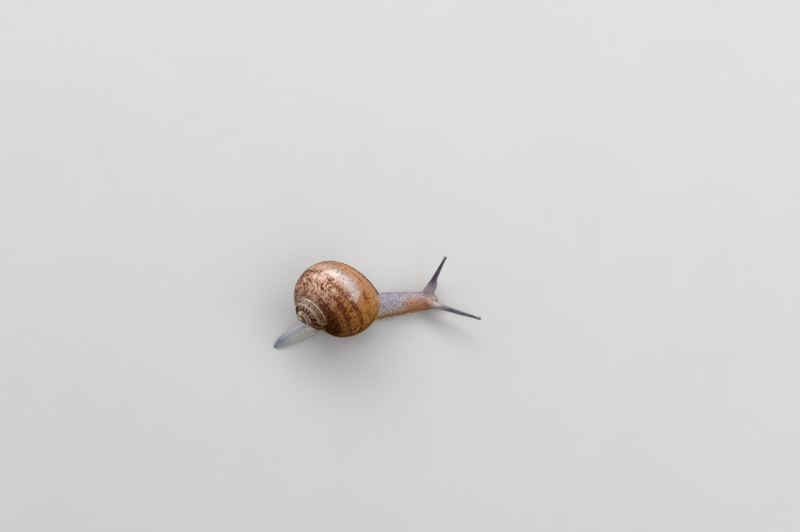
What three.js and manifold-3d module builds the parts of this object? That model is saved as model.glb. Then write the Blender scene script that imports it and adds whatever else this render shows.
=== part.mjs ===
// A young garden snail crawling over flat ground, neck and upper tentacles stretched out.
// Millimetres, +Z up. The head points along +X, the animal's left side is +Y, and the sole
// lies on the plane Z = 0. The origin is on the sole, under the mouth of the shell.

import * as THREE from "three";
import { mergeVertices } from "three/addons/utils/BufferGeometryUtils.js";
import Module from "manifold-3d";

const wasm = await Module();
wasm.setup();

const FULL_TURN = 2 * Math.PI;

// The shell is an ellipse that grows while it turns round the coiling axis. Angles along the
// coil are in radians and end at 0 on the lip; the sizes here are those at the lip.
const SHELL = {
  apex: new THREE.Vector3(-14.84, -5.7, 13.05),
  axis: new THREE.Vector3(-0.718, -0.652, 0.244),
  outward: new THREE.Vector3(0.569, -0.752, -0.333),
  lateGrowth: 0.0947,
  earlyGrowth: 0.1517,
  growthBlend: 1.2,
  centreRadius: 6.56,
  centreDepth: 15.59,
  depthPower: 1.083,
  semiAcross: 7.49,
  semiAlong: 10.03,
  sectionTilt: 0.165,
  lipSlant: 0.41,
  innerRadius: 0.12,
  turns: 3.5,
  wall: 0.5,
};
const SHELL_RING_SIDES = 28;
const SHELL_STEPS_PER_TURN = 28;
const COLUMELLA = { topDepth: 3, bottomDepth: 14.2, topRadius: 0.3, bottomRadius: 1.3, sides: 14 };
const APERTURE = { recess: 0.5, overrun: 0.3, steps: 7 };
const MANTLE = { back: 0.46, front: 0.035, clearance: 0.2, steps: 6 };

// Gaps left between neighbouring pieces.
const SHELL_GAP = 0.3;
const FLESH_GAP = 0.2;
const EYE_GAP = 0.08;

// Plan of the body's middle line on the ground, from the tip of the tail to the snout.
const BODY_LINE = new THREE.CatmullRomCurve3(
  [
    [-22.1, -9.7],
    [-14.7, -4.9],
    [-7.4, -1.6],
    [0.5, 1.0],
    [8.5, 2.75],
    [16.0, 3.75],
    [22.0, 4.25],
    [25.6, 4.4],
  ].map(([x, y]) => new THREE.Vector3(x, y, 0)),
  false,
  "centripetal",
);
BODY_LINE.arcLengthDivisions = 400;
const BODY_LENGTH = BODY_LINE.getLength();

// Sizes of the body's section at distances from the tip of the tail: half-width of the sole,
// half-width of the back, height of the back, and how far the underside is off the ground.
const BODY_SECTIONS = [
  { at: 0.0, sole: 0.6, back: 0.45, top: 0.6, lift: 0 },
  { at: 0.7, sole: 1.2, back: 0.9, top: 0.9, lift: 0 },
  { at: 2.5, sole: 1.72, back: 1.4, top: 1.25, lift: 0 },
  { at: 6.0, sole: 2.05, back: 1.75, top: 1.7, lift: 0 },
  { at: 10.0, sole: 2.5, back: 2.1, top: 2.2, lift: 0 },
  { at: 14.0, sole: 3.1, back: 2.6, top: 3.2, lift: 0 },
  { at: 19.0, sole: 3.7, back: 3.3, top: 6.5, lift: 0 },
  { at: 25.0, sole: 4.1, back: 3.7, top: 9.0, lift: 0 },
  { at: 29.5, sole: 4.4, back: 3.85, top: 7.4, lift: 0 },
  { at: 33.0, sole: 4.4, back: 3.75, top: 5.4, lift: 0 },
  { at: 38.0, sole: 4.05, back: 3.45, top: 4.8, lift: 0 },
  { at: 43.0, sole: 3.35, back: 2.95, top: 4.5, lift: 0 },
  { at: 46.0, sole: 2.65, back: 2.75, top: 4.6, lift: 0.15 },
  { at: 48.2, sole: 1.9, back: 2.55, top: 4.5, lift: 0.6 },
  { at: 49.6, sole: 1.3, back: 2.0, top: 4.0, lift: 0.95 },
  { at: 50.4, sole: 0.7, back: 1.1, top: 3.3, lift: 1.3 },
];
const BODY_STEP = 1.1;

// Shape of the section: half-width shares of the points under the sole, height of the sole's
// edge with the share of it at which the sole is widest, and the back's arch, which starts and
// ends short of half a turn by a share of it.
const SOLE_POINTS = [-0.92, -0.46, 0, 0.46, 0.92];
const SOLE_EDGE = 0.55;
const SOLE_EDGE_LIMIT = 0.5;
const SOLE_BULGE = 0.35;
const BACK_START = 0.06;
const BACK_SIDES = 10;

// Where the body is parted, as distances from the tip of the tail.
const TAIL_END = 13.0;
const FOOT_END = 33.2;
const NECK_END = 43.6;

// Tentacles: where they leave the head, where they end, radii from root to tip as pairs of a
// fraction of the length and a radius, and the fraction at which they are parted from the head.
const RAISED_TENTACLE_RADII = [
  [0, 1.7],
  [0.1, 1.4],
  [0.2, 1.18],
  [0.34, 0.9],
  [0.52, 0.68],
  [0.74, 0.51],
  [0.88, 0.42],
  [0.93, 0.43],
  [0.965, 0.53],
  [0.99, 0.46],
  [1, 0.2],
];
const LEVEL_TENTACLE_RADII = [
  [0, 1.4],
  [0.07, 1.17],
  [0.16, 0.94],
  [0.35, 0.74],
  [0.6, 0.62],
  [0.85, 0.47],
  [0.93, 0.45],
  [0.965, 0.55],
  [0.99, 0.47],
  [1, 0.2],
];
const SHORT_TENTACLE_RADII = [
  [0, 0.62],
  [0.3, 0.5],
  [0.75, 0.42],
  [0.95, 0.38],
  [1, 0.2],
];
const TENTACLES = {
  tentacle_upper_left: {
    root: new THREE.Vector3(23.0, 6.0, 3.7),
    tip: new THREE.Vector3(28.1, 13.7, 12.9),
    bow: new THREE.Vector3(0, 0.3, 0.5),
    radii: RAISED_TENTACLE_RADII,
    cut: 0.2,
  },
  tentacle_upper_right: {
    root: new THREE.Vector3(23.8, 2.5, 3.6),
    tip: new THREE.Vector3(38.3, -3.4, 7.1),
    bow: new THREE.Vector3(0, -0.35, 0.6),
    radii: LEVEL_TENTACLE_RADII,
    cut: 0.16,
  },
  tentacle_lower_left: {
    root: new THREE.Vector3(24.1, 6.0, 1.8),
    tip: new THREE.Vector3(25.5, 10.3, 1.3),
    bow: new THREE.Vector3(0.25, 0, 0.1),
    radii: SHORT_TENTACLE_RADII,
    cut: 0.33,
  },
  tentacle_lower_right: {
    root: new THREE.Vector3(24.4, 3.4, 1.9),
    tip: new THREE.Vector3(27.4, 2.2, 1.1),
    bow: new THREE.Vector3(0.1, -0.2, 0.1),
    radii: SHORT_TENTACLE_RADII,
    cut: 0.4,
  },
};
const TENTACLE_SIDES = 10;
const TENTACLE_STEPS = 6;

const EYE_RADIUS = 0.25;
const EYE_SEAT = 0.36;

const LIP_LOBE = {
  centre: new THREE.Vector3(24.7, 4.4, 1.15),
  side: 0.85,
  radius: 0.95,
  stretch: new THREE.Vector3(1.25, 1, 1),
};
const BALL_SIDES = 10;
const BALL_ROWS = 8;

// Points closer than this are one point.
const WELD = 1e-4;

const lerp = THREE.MathUtils.lerp;

// Values between the rows of a table sorted by the key, eased so that the slope is continuous.
function between(rows, key, position, field) {
  const last = rows.length - 1;
  const index = Math.min(Math.max(rows.findIndex((row) => row[key] > position) - 1, 0), last - 1);
  const from = position >= rows[last][key] ? last - 1 : index;
  const slope = (i) => {
    const a = rows[Math.max(i - 1, 0)];
    const b = rows[Math.min(i + 1, last)];
    return (b[field] - a[field]) / (b[key] - a[key]);
  };
  const span = rows[from + 1][key] - rows[from][key];
  const t = Math.min(Math.max((position - rows[from][key]) / span, 0), 1);
  const startWeight = (1 + 2 * t) * (1 - t) ** 2;
  const endWeight = t * t * (3 - 2 * t);
  const startSlope = t * (1 - t) ** 2 * span * slope(from);
  const endSlope = t * t * (t - 1) * span * slope(from + 1);
  return rows[from][field] * startWeight + rows[from + 1][field] * endWeight + startSlope + endSlope;
}

// A solid from points and triangles, turned so that its faces point out.
function toSolid(points, triangles) {
  const geometry = new THREE.BufferGeometry().setFromPoints(points);
  geometry.setIndex(triangles);
  return geometryToSolid(geometry);
}

function geometryToSolid(source) {
  const bare = source.clone();
  bare.deleteAttribute("normal");
  bare.deleteAttribute("uv");
  const merged = mergeVertices(bare, WELD);
  const vertProperties = merged.attributes.position.array;
  const triVerts = new Uint32Array(merged.index.array);
  let solid = new wasm.Manifold(new wasm.Mesh({ numProp: 3, vertProperties, triVerts }));
  if (solid.volume() < 0) {
    triVerts.reverse();
    solid = new wasm.Manifold(new wasm.Mesh({ numProp: 3, vertProperties, triVerts }));
  }
  return solid;
}

function solidToGeometry(solid) {
  const mesh = solid.getMesh();
  const geometry = new THREE.BufferGeometry();
  const positions = new Float32Array(mesh.numVert * 3);
  for (let i = 0; i < mesh.numVert; i += 1) {
    positions.set(mesh.vertProperties.subarray(i * mesh.numProp, i * mesh.numProp + 3), i * 3);
  }
  geometry.setAttribute("position", new THREE.BufferAttribute(positions, 3));
  geometry.setIndex(new THREE.BufferAttribute(mesh.triVerts, 1));
  const faceted = geometry.toNonIndexed();
  faceted.computeVertexNormals();
  return faceted;
}

// A closed solid through rings of points, with a fan at each end. The fans meet at the rings'
// own centres, or at the end points given.
function loft(rings, startPoint, endPoint) {
  const sides = rings[0].length;
  const centre = (ring) =>
    ring.reduce((sum, point) => sum.add(point), new THREE.Vector3()).divideScalar(sides);
  const points = [...rings.flat()];
  const start = points.push(startPoint ?? centre(rings[0])) - 1;
  const end = points.push(endPoint ?? centre(rings[rings.length - 1])) - 1;
  const triangles = [];
  for (let ring = 0; ring < rings.length - 1; ring += 1) {
    for (let side = 0; side < sides; side += 1) {
      const a = ring * sides + side;
      const b = ring * sides + ((side + 1) % sides);
      triangles.push(a, b, b + sides, a, b + sides, a + sides);
    }
  }
  const lastRing = (rings.length - 1) * sides;
  for (let side = 0; side < sides; side += 1) {
    const next = (side + 1) % sides;
    triangles.push(start, next, side, end, lastRing + side, lastRing + next);
  }
  return toSolid(points, triangles);
}

function unionOf(solids) {
  return solids.reduce((whole, solid) => whole.add(solid));
}

// The same solid with its sealed hollows filled.
function filled(solid) {
  return unionOf(solid.decompose().filter((body) => body.volume() > 0));
}

// --- Shell ---------------------------------------------------------------------------------

const AXIS = SHELL.axis.clone().normalize();
const SIDEWAYS = new THREE.Vector3().crossVectors(AXIS, SHELL.outward).normalize();
const OUTWARD = new THREE.Vector3().crossVectors(SIDEWAYS, AXIS);

// Size of the shell's section at an angle, against its size at the lip.
function shellScale(angle) {
  const back = -angle;
  const early = SHELL.growthBlend * Math.log1p(Math.exp((back - FULL_TURN) / SHELL.growthBlend));
  return Math.exp(-(SHELL.lateGrowth * back + (SHELL.earlyGrowth - SHELL.lateGrowth) * early));
}

function aroundAxis(radius, angle, height) {
  return SHELL.apex
    .clone()
    .addScaledVector(OUTWARD, radius * Math.cos(angle))
    .addScaledVector(SIDEWAYS, -radius * Math.sin(angle))
    .addScaledVector(AXIS, height);
}

// A ring of the shell, slanted like its growth lines; swell moves it outwards.
function shellRing(angle, swell) {
  const ring = [];
  for (let side = 0; side < SHELL_RING_SIDES; side += 1) {
    const phase = (side / SHELL_RING_SIDES) * FULL_TURN;
    const turned = angle + SHELL.lipSlant * Math.sin(phase);
    const scale = shellScale(turned);
    const across = (SHELL.semiAcross * scale + swell) * Math.cos(phase);
    const along = (SHELL.semiAlong * scale + swell) * Math.sin(phase);
    const tilted = across * Math.cos(SHELL.sectionTilt) - along * Math.sin(SHELL.sectionTilt);
    const rise = across * Math.sin(SHELL.sectionTilt) + along * Math.cos(SHELL.sectionTilt);
    const radius = Math.max(SHELL.centreRadius * scale + tilted, SHELL.innerRadius * scale);
    const depth = SHELL.centreDepth * scale ** SHELL.depthPower;
    ring.push(aroundAxis(radius, turned, rise - depth));
  }
  return ring;
}

function shellTube(from, to, steps, swell) {
  const rings = [];
  for (let step = 0; step <= steps; step += 1) {
    rings.push(shellRing(lerp(from, to, step / steps), swell));
  }
  return loft(rings);
}

// The coil as solid half turns, newest first. Neighbours share a ring.
function shellHalfTurns(swell) {
  const steps = SHELL_STEPS_PER_TURN / 2;
  const halves = Math.round(SHELL.turns * 2);
  const pieces = [];
  for (let half = 0; half < halves; half += 1) {
    const to = -half * Math.PI;
    pieces.push(shellTube(to - Math.PI, to, steps, swell));
  }
  return pieces;
}

// The pillar that the coil turns round.
function columella(swell) {
  const { topDepth, bottomDepth, topRadius, bottomRadius, sides } = COLUMELLA;
  const ringAt = (radius, depth) =>
    Array.from({ length: sides }, (_, side) =>
      aroundAxis(radius + swell, (-side / sides) * FULL_TURN, -depth),
    );
  return loft([ringAt(topRadius, topDepth - swell), ringAt(bottomRadius, bottomDepth + swell)]);
}

function makeShell() {
  const [newest, ...older] = shellHalfTurns(0);
  const from = -APERTURE.recess;
  const opening = shellTube(from, APERTURE.overrun, APERTURE.steps, -SHELL.wall);
  return filled(unionOf([newest.subtract(opening), ...older, columella(0)]));
}

function makeShellRoom() {
  return filled(unionOf([...shellHalfTurns(SHELL_GAP), columella(SHELL_GAP)]));
}

// The collar of flesh that fills the mouth of the shell.
function makeMantle() {
  const [, ...older] = shellHalfTurns(SHELL_GAP);
  const inset = -SHELL.wall - MANTLE.clearance;
  const plug = shellTube(-MANTLE.back, -MANTLE.front, MANTLE.steps, inset);
  return plug.subtract(unionOf([...older, columella(SHELL_GAP)]));
}

// --- Body ----------------------------------------------------------------------------------

function bodyRing(at) {
  const share = THREE.MathUtils.clamp(at / BODY_LENGTH, 0, 1);
  const middle = BODY_LINE.getPointAt(share);
  const ahead = BODY_LINE.getTangentAt(share);
  const left = new THREE.Vector3(-ahead.y, ahead.x, 0);
  const size = (field) => between(BODY_SECTIONS, "at", at, field);
  const sole = size("sole");
  const back = size("back");
  const lift = Math.max(size("lift"), 0);
  const edge = Math.min(SOLE_EDGE, SOLE_EDGE_LIMIT * (size("top") - lift));
  const outline = SOLE_POINTS.map((part) => [part * sole, lift]);
  outline.push([sole, lift + SOLE_BULGE * edge]);
  for (let side = 0; side <= BACK_SIDES; side += 1) {
    const angle = lerp(BACK_START, 1 - BACK_START, side / BACK_SIDES) * Math.PI;
    const rise = (size("top") - lift - edge) * Math.sin(angle);
    outline.push([back * Math.cos(angle), lift + edge + rise]);
  }
  outline.push([-sole, lift + SOLE_BULGE * edge]);
  return outline.map(([side, height]) =>
    middle.clone().addScaledVector(left, side).setZ(height),
  );
}

function bodyLength(from, to) {
  const steps = Math.round((to - from) / BODY_STEP);
  const rings = [];
  for (let step = 0; step <= steps; step += 1) {
    rings.push(bodyRing(lerp(from, to, step / steps)));
  }
  return loft(rings);
}

// A tube along a bowed line, with the radii of the tentacle. Its section is round.
function tentacleTube(shape, from, to, swell) {
  const middle = shape.root.clone().lerp(shape.tip, 0.5).add(shape.bow);
  const line = new THREE.QuadraticBezierCurve3(shape.root, middle, shape.tip);
  const shares = Array.from({ length: TENTACLE_STEPS + 1 }, (_, step) =>
    lerp(from, to, step / TENTACLE_STEPS),
  );
  const bends = shape.radii.map(([share]) => share).filter((share) => share > from && share < to);
  const stations = [...new Set([...shares, ...bends])].sort((a, b) => a - b);
  const radii = shape.radii.map(([share, radius]) => ({ share, radius }));
  const rings = stations.map((share) => {
    const centre = line.getPoint(share);
    const ahead = line.getTangent(share);
    const left = new THREE.Vector3(-ahead.y, ahead.x, 0).normalize();
    const up = new THREE.Vector3().crossVectors(ahead, left);
    const radius = between(radii, "share", share, "radius") + swell;
    return Array.from({ length: TENTACLE_SIDES }, (_, side) => {
      const angle = (side / TENTACLE_SIDES) * FULL_TURN;
      return centre
        .clone()
        .addScaledVector(left, radius * Math.cos(angle))
        .addScaledVector(up, radius * Math.sin(angle));
    });
  });
  return loft(rings);
}

function ball(radius, centre, stretch) {
  const geometry = new THREE.SphereGeometry(radius, BALL_SIDES, BALL_ROWS);
  geometry.scale(stretch.x, stretch.y, stretch.z);
  geometry.translate(centre.x, centre.y, centre.z);
  return geometryToSolid(geometry);
}

// The eye sits on the knob of an upper tentacle, towards its top and front.
function eyeCentre(shape) {
  const ahead = shape.tip.clone().sub(shape.root).normalize();
  const up = new THREE.Vector3(0, 0, 1).addScaledVector(ahead, -ahead.z).normalize();
  return shape.tip
    .clone()
    .addScaledVector(ahead, -EYE_RADIUS)
    .addScaledVector(up, EYE_SEAT);
}

function makeEye(shape, swell) {
  return ball(EYE_RADIUS + swell, eyeCentre(shape), new THREE.Vector3(1, 1, 1));
}

function makeHead() {
  const lobes = [-1, 1].map((hand) => {
    const centre = LIP_LOBE.centre.clone().add(new THREE.Vector3(0, hand * LIP_LOBE.side, 0));
    return ball(LIP_LOBE.radius, centre, LIP_LOBE.stretch);
  });
  const roots = Object.values(TENTACLES).map((shape) => tentacleTube(shape, 0, shape.cut, 0));
  return unionOf([bodyLength(NECK_END + FLESH_GAP, BODY_LENGTH), ...lobes, ...roots]);
}

function makeTentacle(shape, hasEye) {
  const gap = FLESH_GAP / shape.tip.distanceTo(shape.root);
  const tube = tentacleTube(shape, shape.cut + gap, 1, 0);
  return hasEye ? tube.subtract(makeEye(shape, EYE_GAP)) : tube;
}

// --- The animal ----------------------------------------------------------------------------

function makeMesh(name, solid, color, roughness) {
  const material = new THREE.MeshStandardMaterial({ color, roughness, metalness: 0 });
  const mesh = new THREE.Mesh(solidToGeometry(solid), material);
  mesh.name = name;
  return mesh;
}

const snail = new THREE.Group();
snail.name = "land_snail";

const shellRoom = makeShellRoom();
snail.add(makeMesh("shell", makeShell(), 0xb4824a, 0.35));
snail.add(makeMesh("mantle", makeMantle(), 0xa79a7c, 0.4));
snail.add(makeMesh("tail", bodyLength(0, TAIL_END).subtract(shellRoom), 0xb9bcbc, 0.4));
snail.add(
  makeMesh("foot", bodyLength(TAIL_END + FLESH_GAP, FOOT_END).subtract(shellRoom), 0xb5aaa2, 0.4),
);
snail.add(
  makeMesh("neck", bodyLength(FOOT_END + FLESH_GAP, NECK_END).subtract(shellRoom), 0xb3a3a4, 0.4),
);
snail.add(makeMesh("head", makeHead(), 0xb59a8e, 0.4));
for (const [name, shape] of Object.entries(TENTACLES)) {
  const hasEye = name.includes("upper");
  snail.add(makeMesh(name, makeTentacle(shape, hasEye), 0x9a8c94, 0.4));
  if (hasEye) {
    snail.add(makeMesh(name.replace("tentacle_upper", "eye"), makeEye(shape, 0), 0x17130f, 0.2));
  }
}

export default snail;
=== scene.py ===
"""A young garden snail crawling: its shell, its skin and its eyes, in a plain pale studio.

Sizes in the classes are in millimetres, as the shell and the body were measured, and meshes
are turned into metres when they are made. +X is the way the animal crawls, +Y its left side
and +Z up from its sole.
"""

import logging
import math
from dataclasses import dataclass, field
from enum import Enum
from typing import Any, Callable, Iterable, Sequence

import bmesh
import bpy
import numpy as np
from mathutils import Matrix, Vector


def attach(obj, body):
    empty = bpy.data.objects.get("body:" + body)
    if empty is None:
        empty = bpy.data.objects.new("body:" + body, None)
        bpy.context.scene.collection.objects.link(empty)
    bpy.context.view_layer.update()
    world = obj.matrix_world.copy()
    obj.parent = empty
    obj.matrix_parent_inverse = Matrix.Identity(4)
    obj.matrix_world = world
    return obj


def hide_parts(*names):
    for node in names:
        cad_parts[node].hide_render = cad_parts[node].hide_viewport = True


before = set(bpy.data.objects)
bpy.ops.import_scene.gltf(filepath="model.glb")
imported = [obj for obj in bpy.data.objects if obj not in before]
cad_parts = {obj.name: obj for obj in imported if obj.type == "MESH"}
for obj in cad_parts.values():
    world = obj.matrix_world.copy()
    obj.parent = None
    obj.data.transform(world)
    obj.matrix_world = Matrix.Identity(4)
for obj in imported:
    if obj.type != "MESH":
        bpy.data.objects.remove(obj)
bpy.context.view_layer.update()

LOG = logging.getLogger("garden_snail")

MM = 0.001
PIGMENT_DEPTH = 0.45
TURN = 2 * math.pi
FAR = 1e3

Array = np.ndarray
Colour = tuple[float, float, float]


# --- Small maths -------------------------------------------------------------------------------


def rgb(red: int, green: int, blue: int) -> Colour:
    """Turn a screen colour of 0 to 255 into the linear pigment that shows it in the studio's strong light."""
    linear = (((c / 255 + 0.055) / 1.055) ** 2.4 if c > 10 else c / 3294.6 for c in (red, green, blue))
    return tuple(PIGMENT_DEPTH * value for value in linear)


def unit(vector: Sequence[float]) -> Array:
    """Return the vector with a length of one."""
    array = np.asarray(vector, float)
    return array / np.linalg.norm(array)


def ease(low: float, high: float, value: Array | float) -> Array:
    """Rise smoothly from 0, where the value is low, to 1, where it is high; high may be below low."""
    share = np.clip((np.asarray(value, float) - low) / (high - low), 0, 1)
    return share * share * (3 - 2 * share)


def soft_min(first: Array, second: Array, radius: float) -> Array:
    """Join the bodies of two distance fields, with a fillet of that radius."""
    near = np.clip(0.5 + 0.5 * (second - first) / radius, 0, 1)
    return second + (first - second) * near - radius * near * (1 - near)


def soft_max(first: Array, second: Array, radius: float) -> Array:
    """Return the overlap of two distance fields, with its edge rounded by radius."""
    return -soft_min(-first, -second, radius)


def table(rows: Sequence[tuple[float, ...]], column: int, position: Array) -> Array:
    """Read a column of a table, eased so that its slope is continuous.

    Args:
        rows: Rows sorted by their first value.
        column: Which value of the rows to read.
        position: First values at which to read it.

    Returns:
        One value for each position.
    """
    data = np.asarray(rows, float)
    keys, values = data[:, 0], data[:, column]
    below = np.maximum(np.arange(len(keys)) - 1, 0)
    above = np.minimum(np.arange(len(keys)) + 1, len(keys) - 1)
    slopes = (values[above] - values[below]) / (keys[above] - keys[below])
    start = np.clip(np.searchsorted(keys, position, side="right") - 1, 0, len(keys) - 2)
    span = keys[start + 1] - keys[start]
    t = np.clip((position - keys[start]) / span, 0, 1)
    level = values[start] * (1 + 2 * t) * (1 - t) ** 2 + values[start + 1] * t * t * (3 - 2 * t)
    return level + span * t * (1 - t) * (slopes[start] * (1 - t) - slopes[start + 1] * t)


class Grain:
    """Repeatable noise for shapes: the same seed gives the same bumps."""

    def __init__(self, seed: int) -> None:
        """Keep the seed."""
        self.seed = seed

    def scatter(self, cell: Array, salt: int) -> Array:
        """Give each whole-numbered cell its own value from 0 to 1.

        Args:
            cell: Whole numbers, one row for each cell.
            salt: Tells apart the several values of one cell.

        Returns:
            One value for each cell.
        """
        primes = np.array([73856093, 19349663, 83492791], np.int64)[: cell.shape[-1]]
        mixed = (cell.astype(np.int64) * primes).sum(-1) + (self.seed * 131 + salt) * 2654435761
        mixed = (mixed ^ (mixed >> 15)) * 2246822519 & 0xFFFFFFFF
        mixed = (mixed ^ (mixed >> 13)) * 3266489917 & 0xFFFFFFFF
        return ((mixed ^ (mixed >> 16)) & 0xFFFFFF) / float(0x1000000)

    def rolling(self, points: Array) -> Array:
        """Return smooth noise from -1 to 1, about one swell for each unit of length.

        Args:
            points: Places, of two or three values each.

        Returns:
            One value for each place.
        """
        base = np.floor(points).astype(np.int64)
        part = points - base
        part = part * part * (3 - 2 * part)
        total = np.zeros(len(points))
        size = points.shape[1]
        for corner in range(2**size):
            step = np.array([(corner >> axis) & 1 for axis in range(size)])
            weight = np.where(step == 1, part, 1 - part).prod(-1)
            total += weight * self.scatter(base + step, 0)
        return total * 2 - 1

    def layered(self, points: Array, layers: int) -> Array:
        """Add finer and fainter layers of rolling noise.

        Args:
            points: Places, of two or three values each.
            layers: How many layers, each twice as fine as the last.

        Returns:
            One value for each place, about -1 to 1.
        """
        total = np.zeros(len(points))
        for layer in range(layers):
            total += self.rolling(points * 2.0**layer + 17.3 * layer) * 0.5**layer
        return total / (2 - 0.5 ** (layers - 1))

    def pebbles(self, points: Array, looseness: float) -> Array:
        """Return how far each place is inside its pebble of a packed, uneven pavement.

        Args:
            points: Places in the plane, where a pebble is about one unit across.
            looseness: How uneven the pavement is, from 0 to 1.

        Returns:
            The nearest joint's distance, 0 in the joints and about 0.5 in the middles.
        """
        base = np.floor(points).astype(np.int64)
        first = np.full(len(points), FAR)
        second = np.full(len(points), FAR)
        for dx in (-1, 0, 1):
            for dy in (-1, 0, 1):
                cell = base + np.array([dx, dy])
                offset = np.stack([self.scatter(cell, 1), self.scatter(cell, 2)], -1) - 0.5
                centre = cell + 0.5 + offset * looseness
                away = np.linalg.norm(points - centre, axis=1)
                second = np.minimum(second, np.maximum(first, away))
                first = np.minimum(first, away)
        return 0.5 * (second - first)


# --- Meshes ------------------------------------------------------------------------------------


@dataclass
class Surface:
    """Points in millimetres, faces, and what the finish reads at each point."""

    points: Array
    faces: Array
    values: dict[str, Array] = field(default_factory=dict)

    def normals(self) -> Array:
        """Average the faces round each point.

        Returns:
            Each point's outward direction.
        """
        corners = self.points[self.faces]
        crossed = np.cross(corners[:, 2] - corners[:, 0], corners[:, -1] - corners[:, 1])
        total = np.zeros_like(self.points)
        for corner in range(self.faces.shape[1]):
            np.add.at(total, self.faces[:, corner], crossed)
        return total / np.maximum(np.linalg.norm(total, axis=1, keepdims=True), 1e-12)

    def relax(self, rounds: int, strength: float) -> None:
        """Even out the surface.

        Args:
            rounds: How many times each point moves.
            strength: How far it moves each time towards the mean of its neighbours.
        """
        starts, ends = self.faces.ravel(), np.roll(self.faces, -1, axis=1).ravel()
        size = len(self.points)
        count = np.bincount(starts, minlength=size) + np.bincount(ends, minlength=size)
        for _ in range(rounds):
            sums = [np.bincount(starts, level[ends], size) + np.bincount(ends, level[starts], size)
                    for level in self.points.T]
            self.points += strength * (np.stack(sums, -1) / np.maximum(count, 1)[:, None] - self.points)

    def piece(self, name: str, material: bpy.types.Material) -> bpy.types.Object:
        """Make the surface a smooth-shaded object in metres.

        Args:
            name: Name of the object.
            material: Its finish.

        Returns:
            The object, linked into the scene.
        """
        mesh = bpy.data.meshes.new(name)
        sides = self.faces.shape[1]
        mesh.vertices.add(len(self.points))
        mesh.vertices.foreach_set("co", (self.points * MM).astype(np.float32).ravel())
        mesh.loops.add(self.faces.size)
        mesh.loops.foreach_set("vertex_index", self.faces.astype(np.int32).ravel())
        mesh.polygons.add(len(self.faces))
        mesh.polygons.foreach_set("loop_start", np.arange(0, self.faces.size, sides, dtype=np.int32))
        mesh.update(calc_edges=True)
        mesh.validate()
        mesh.shade_smooth()
        for label, value in self.values.items():
            flat = value.ndim == 1
            layer = mesh.attributes.new(label, "FLOAT" if flat else "FLOAT_VECTOR", "POINT")
            layer.data.foreach_set("value" if flat else "vector", value.astype(np.float32).ravel())
        mesh.materials.append(material)
        made = bpy.data.objects.new(name, mesh)
        bpy.context.scene.collection.objects.link(made)
        return made


def tube_faces(rows: int, sides: int) -> Array:
    """Number the four-sided faces of a tube.

    Args:
        rows: How many rings of points it has.
        sides: How many points are in a ring.

    Returns:
        Rows of four point numbers, from the first ring to the last.
    """
    index = np.arange(rows * sides).reshape(rows, sides)
    beside = np.roll(index, -1, axis=1)
    return np.stack([index[:-1], index[1:], beside[1:], beside[:-1]], -1).reshape(-1, 4)


def enlarge(values: Array, factor: int) -> Array:
    """Return a grid in which each value is repeated factor times along all three axes."""
    return values.repeat(factor, 0).repeat(factor, 1).repeat(factor, 2)


def net_over(level: Array, origin: Array, step: float) -> Surface:
    """Lay a net of four-sided faces over the zero level of a sampled field.

    Args:
        level: The field on a grid, below zero inside the body.
        origin: Place of the grid's first sample.
        step: Distance between samples.

    Returns:
        The net, its faces turned outwards.
    """
    inside = level < 0
    low, high = slice(None, -1), slice(1, None)
    offsets = [(i, j, k) for i in (0, 1) for j in (0, 1) for k in (0, 1)]
    count = sum(inside[tuple(high if o else low for o in offset)].astype(np.int8) for offset in offsets)
    cells = np.argwhere((count > 0) & (count < 8))
    index = np.full(count.shape, -1, np.int64)
    index[tuple(cells.T)] = np.arange(len(cells))
    total = np.zeros((len(cells), 3))
    hits = np.zeros((len(cells), 1))
    for start in offsets:
        for axis in range(3):
            if start[axis]:
                continue
            first = cells + np.array(start)
            second = first.copy()
            second[:, axis] += 1
            a, b = level[tuple(first.T)], level[tuple(second.T)]
            crossed = ((a < 0) != (b < 0))[:, None]
            share = (a / np.where(a == b, 1, a - b))[:, None]
            total += np.where(crossed, first - cells + share * (second - first), 0)
            hits += crossed
    points = origin + step * (cells + total / hits)
    faces = []
    for axis in range(3):
        across, along = (axis + 1) % 3, (axis + 2) % 3
        near = [slice(1, -1)] * 3
        near[axis] = low
        ahead = list(near)
        ahead[axis] = high
        flips = inside[tuple(near)] != inside[tuple(ahead)]
        places = np.argwhere(flips)
        places[:, across] += 1
        places[:, along] += 1
        ring = []
        for back_across, back_along in ((1, 1), (0, 1), (0, 0), (1, 0)):
            cell = places.copy()
            cell[:, across] -= back_across
            cell[:, along] -= back_along
            ring.append(index[tuple(cell.T)])
        quads = np.stack(ring, -1)
        outward = inside[tuple(places.T)]
        faces.append(np.where(outward[:, None], quads, quads[:, ::-1]))
    return Surface(points, np.concatenate(faces))


# --- Shader building ---------------------------------------------------------------------------


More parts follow.
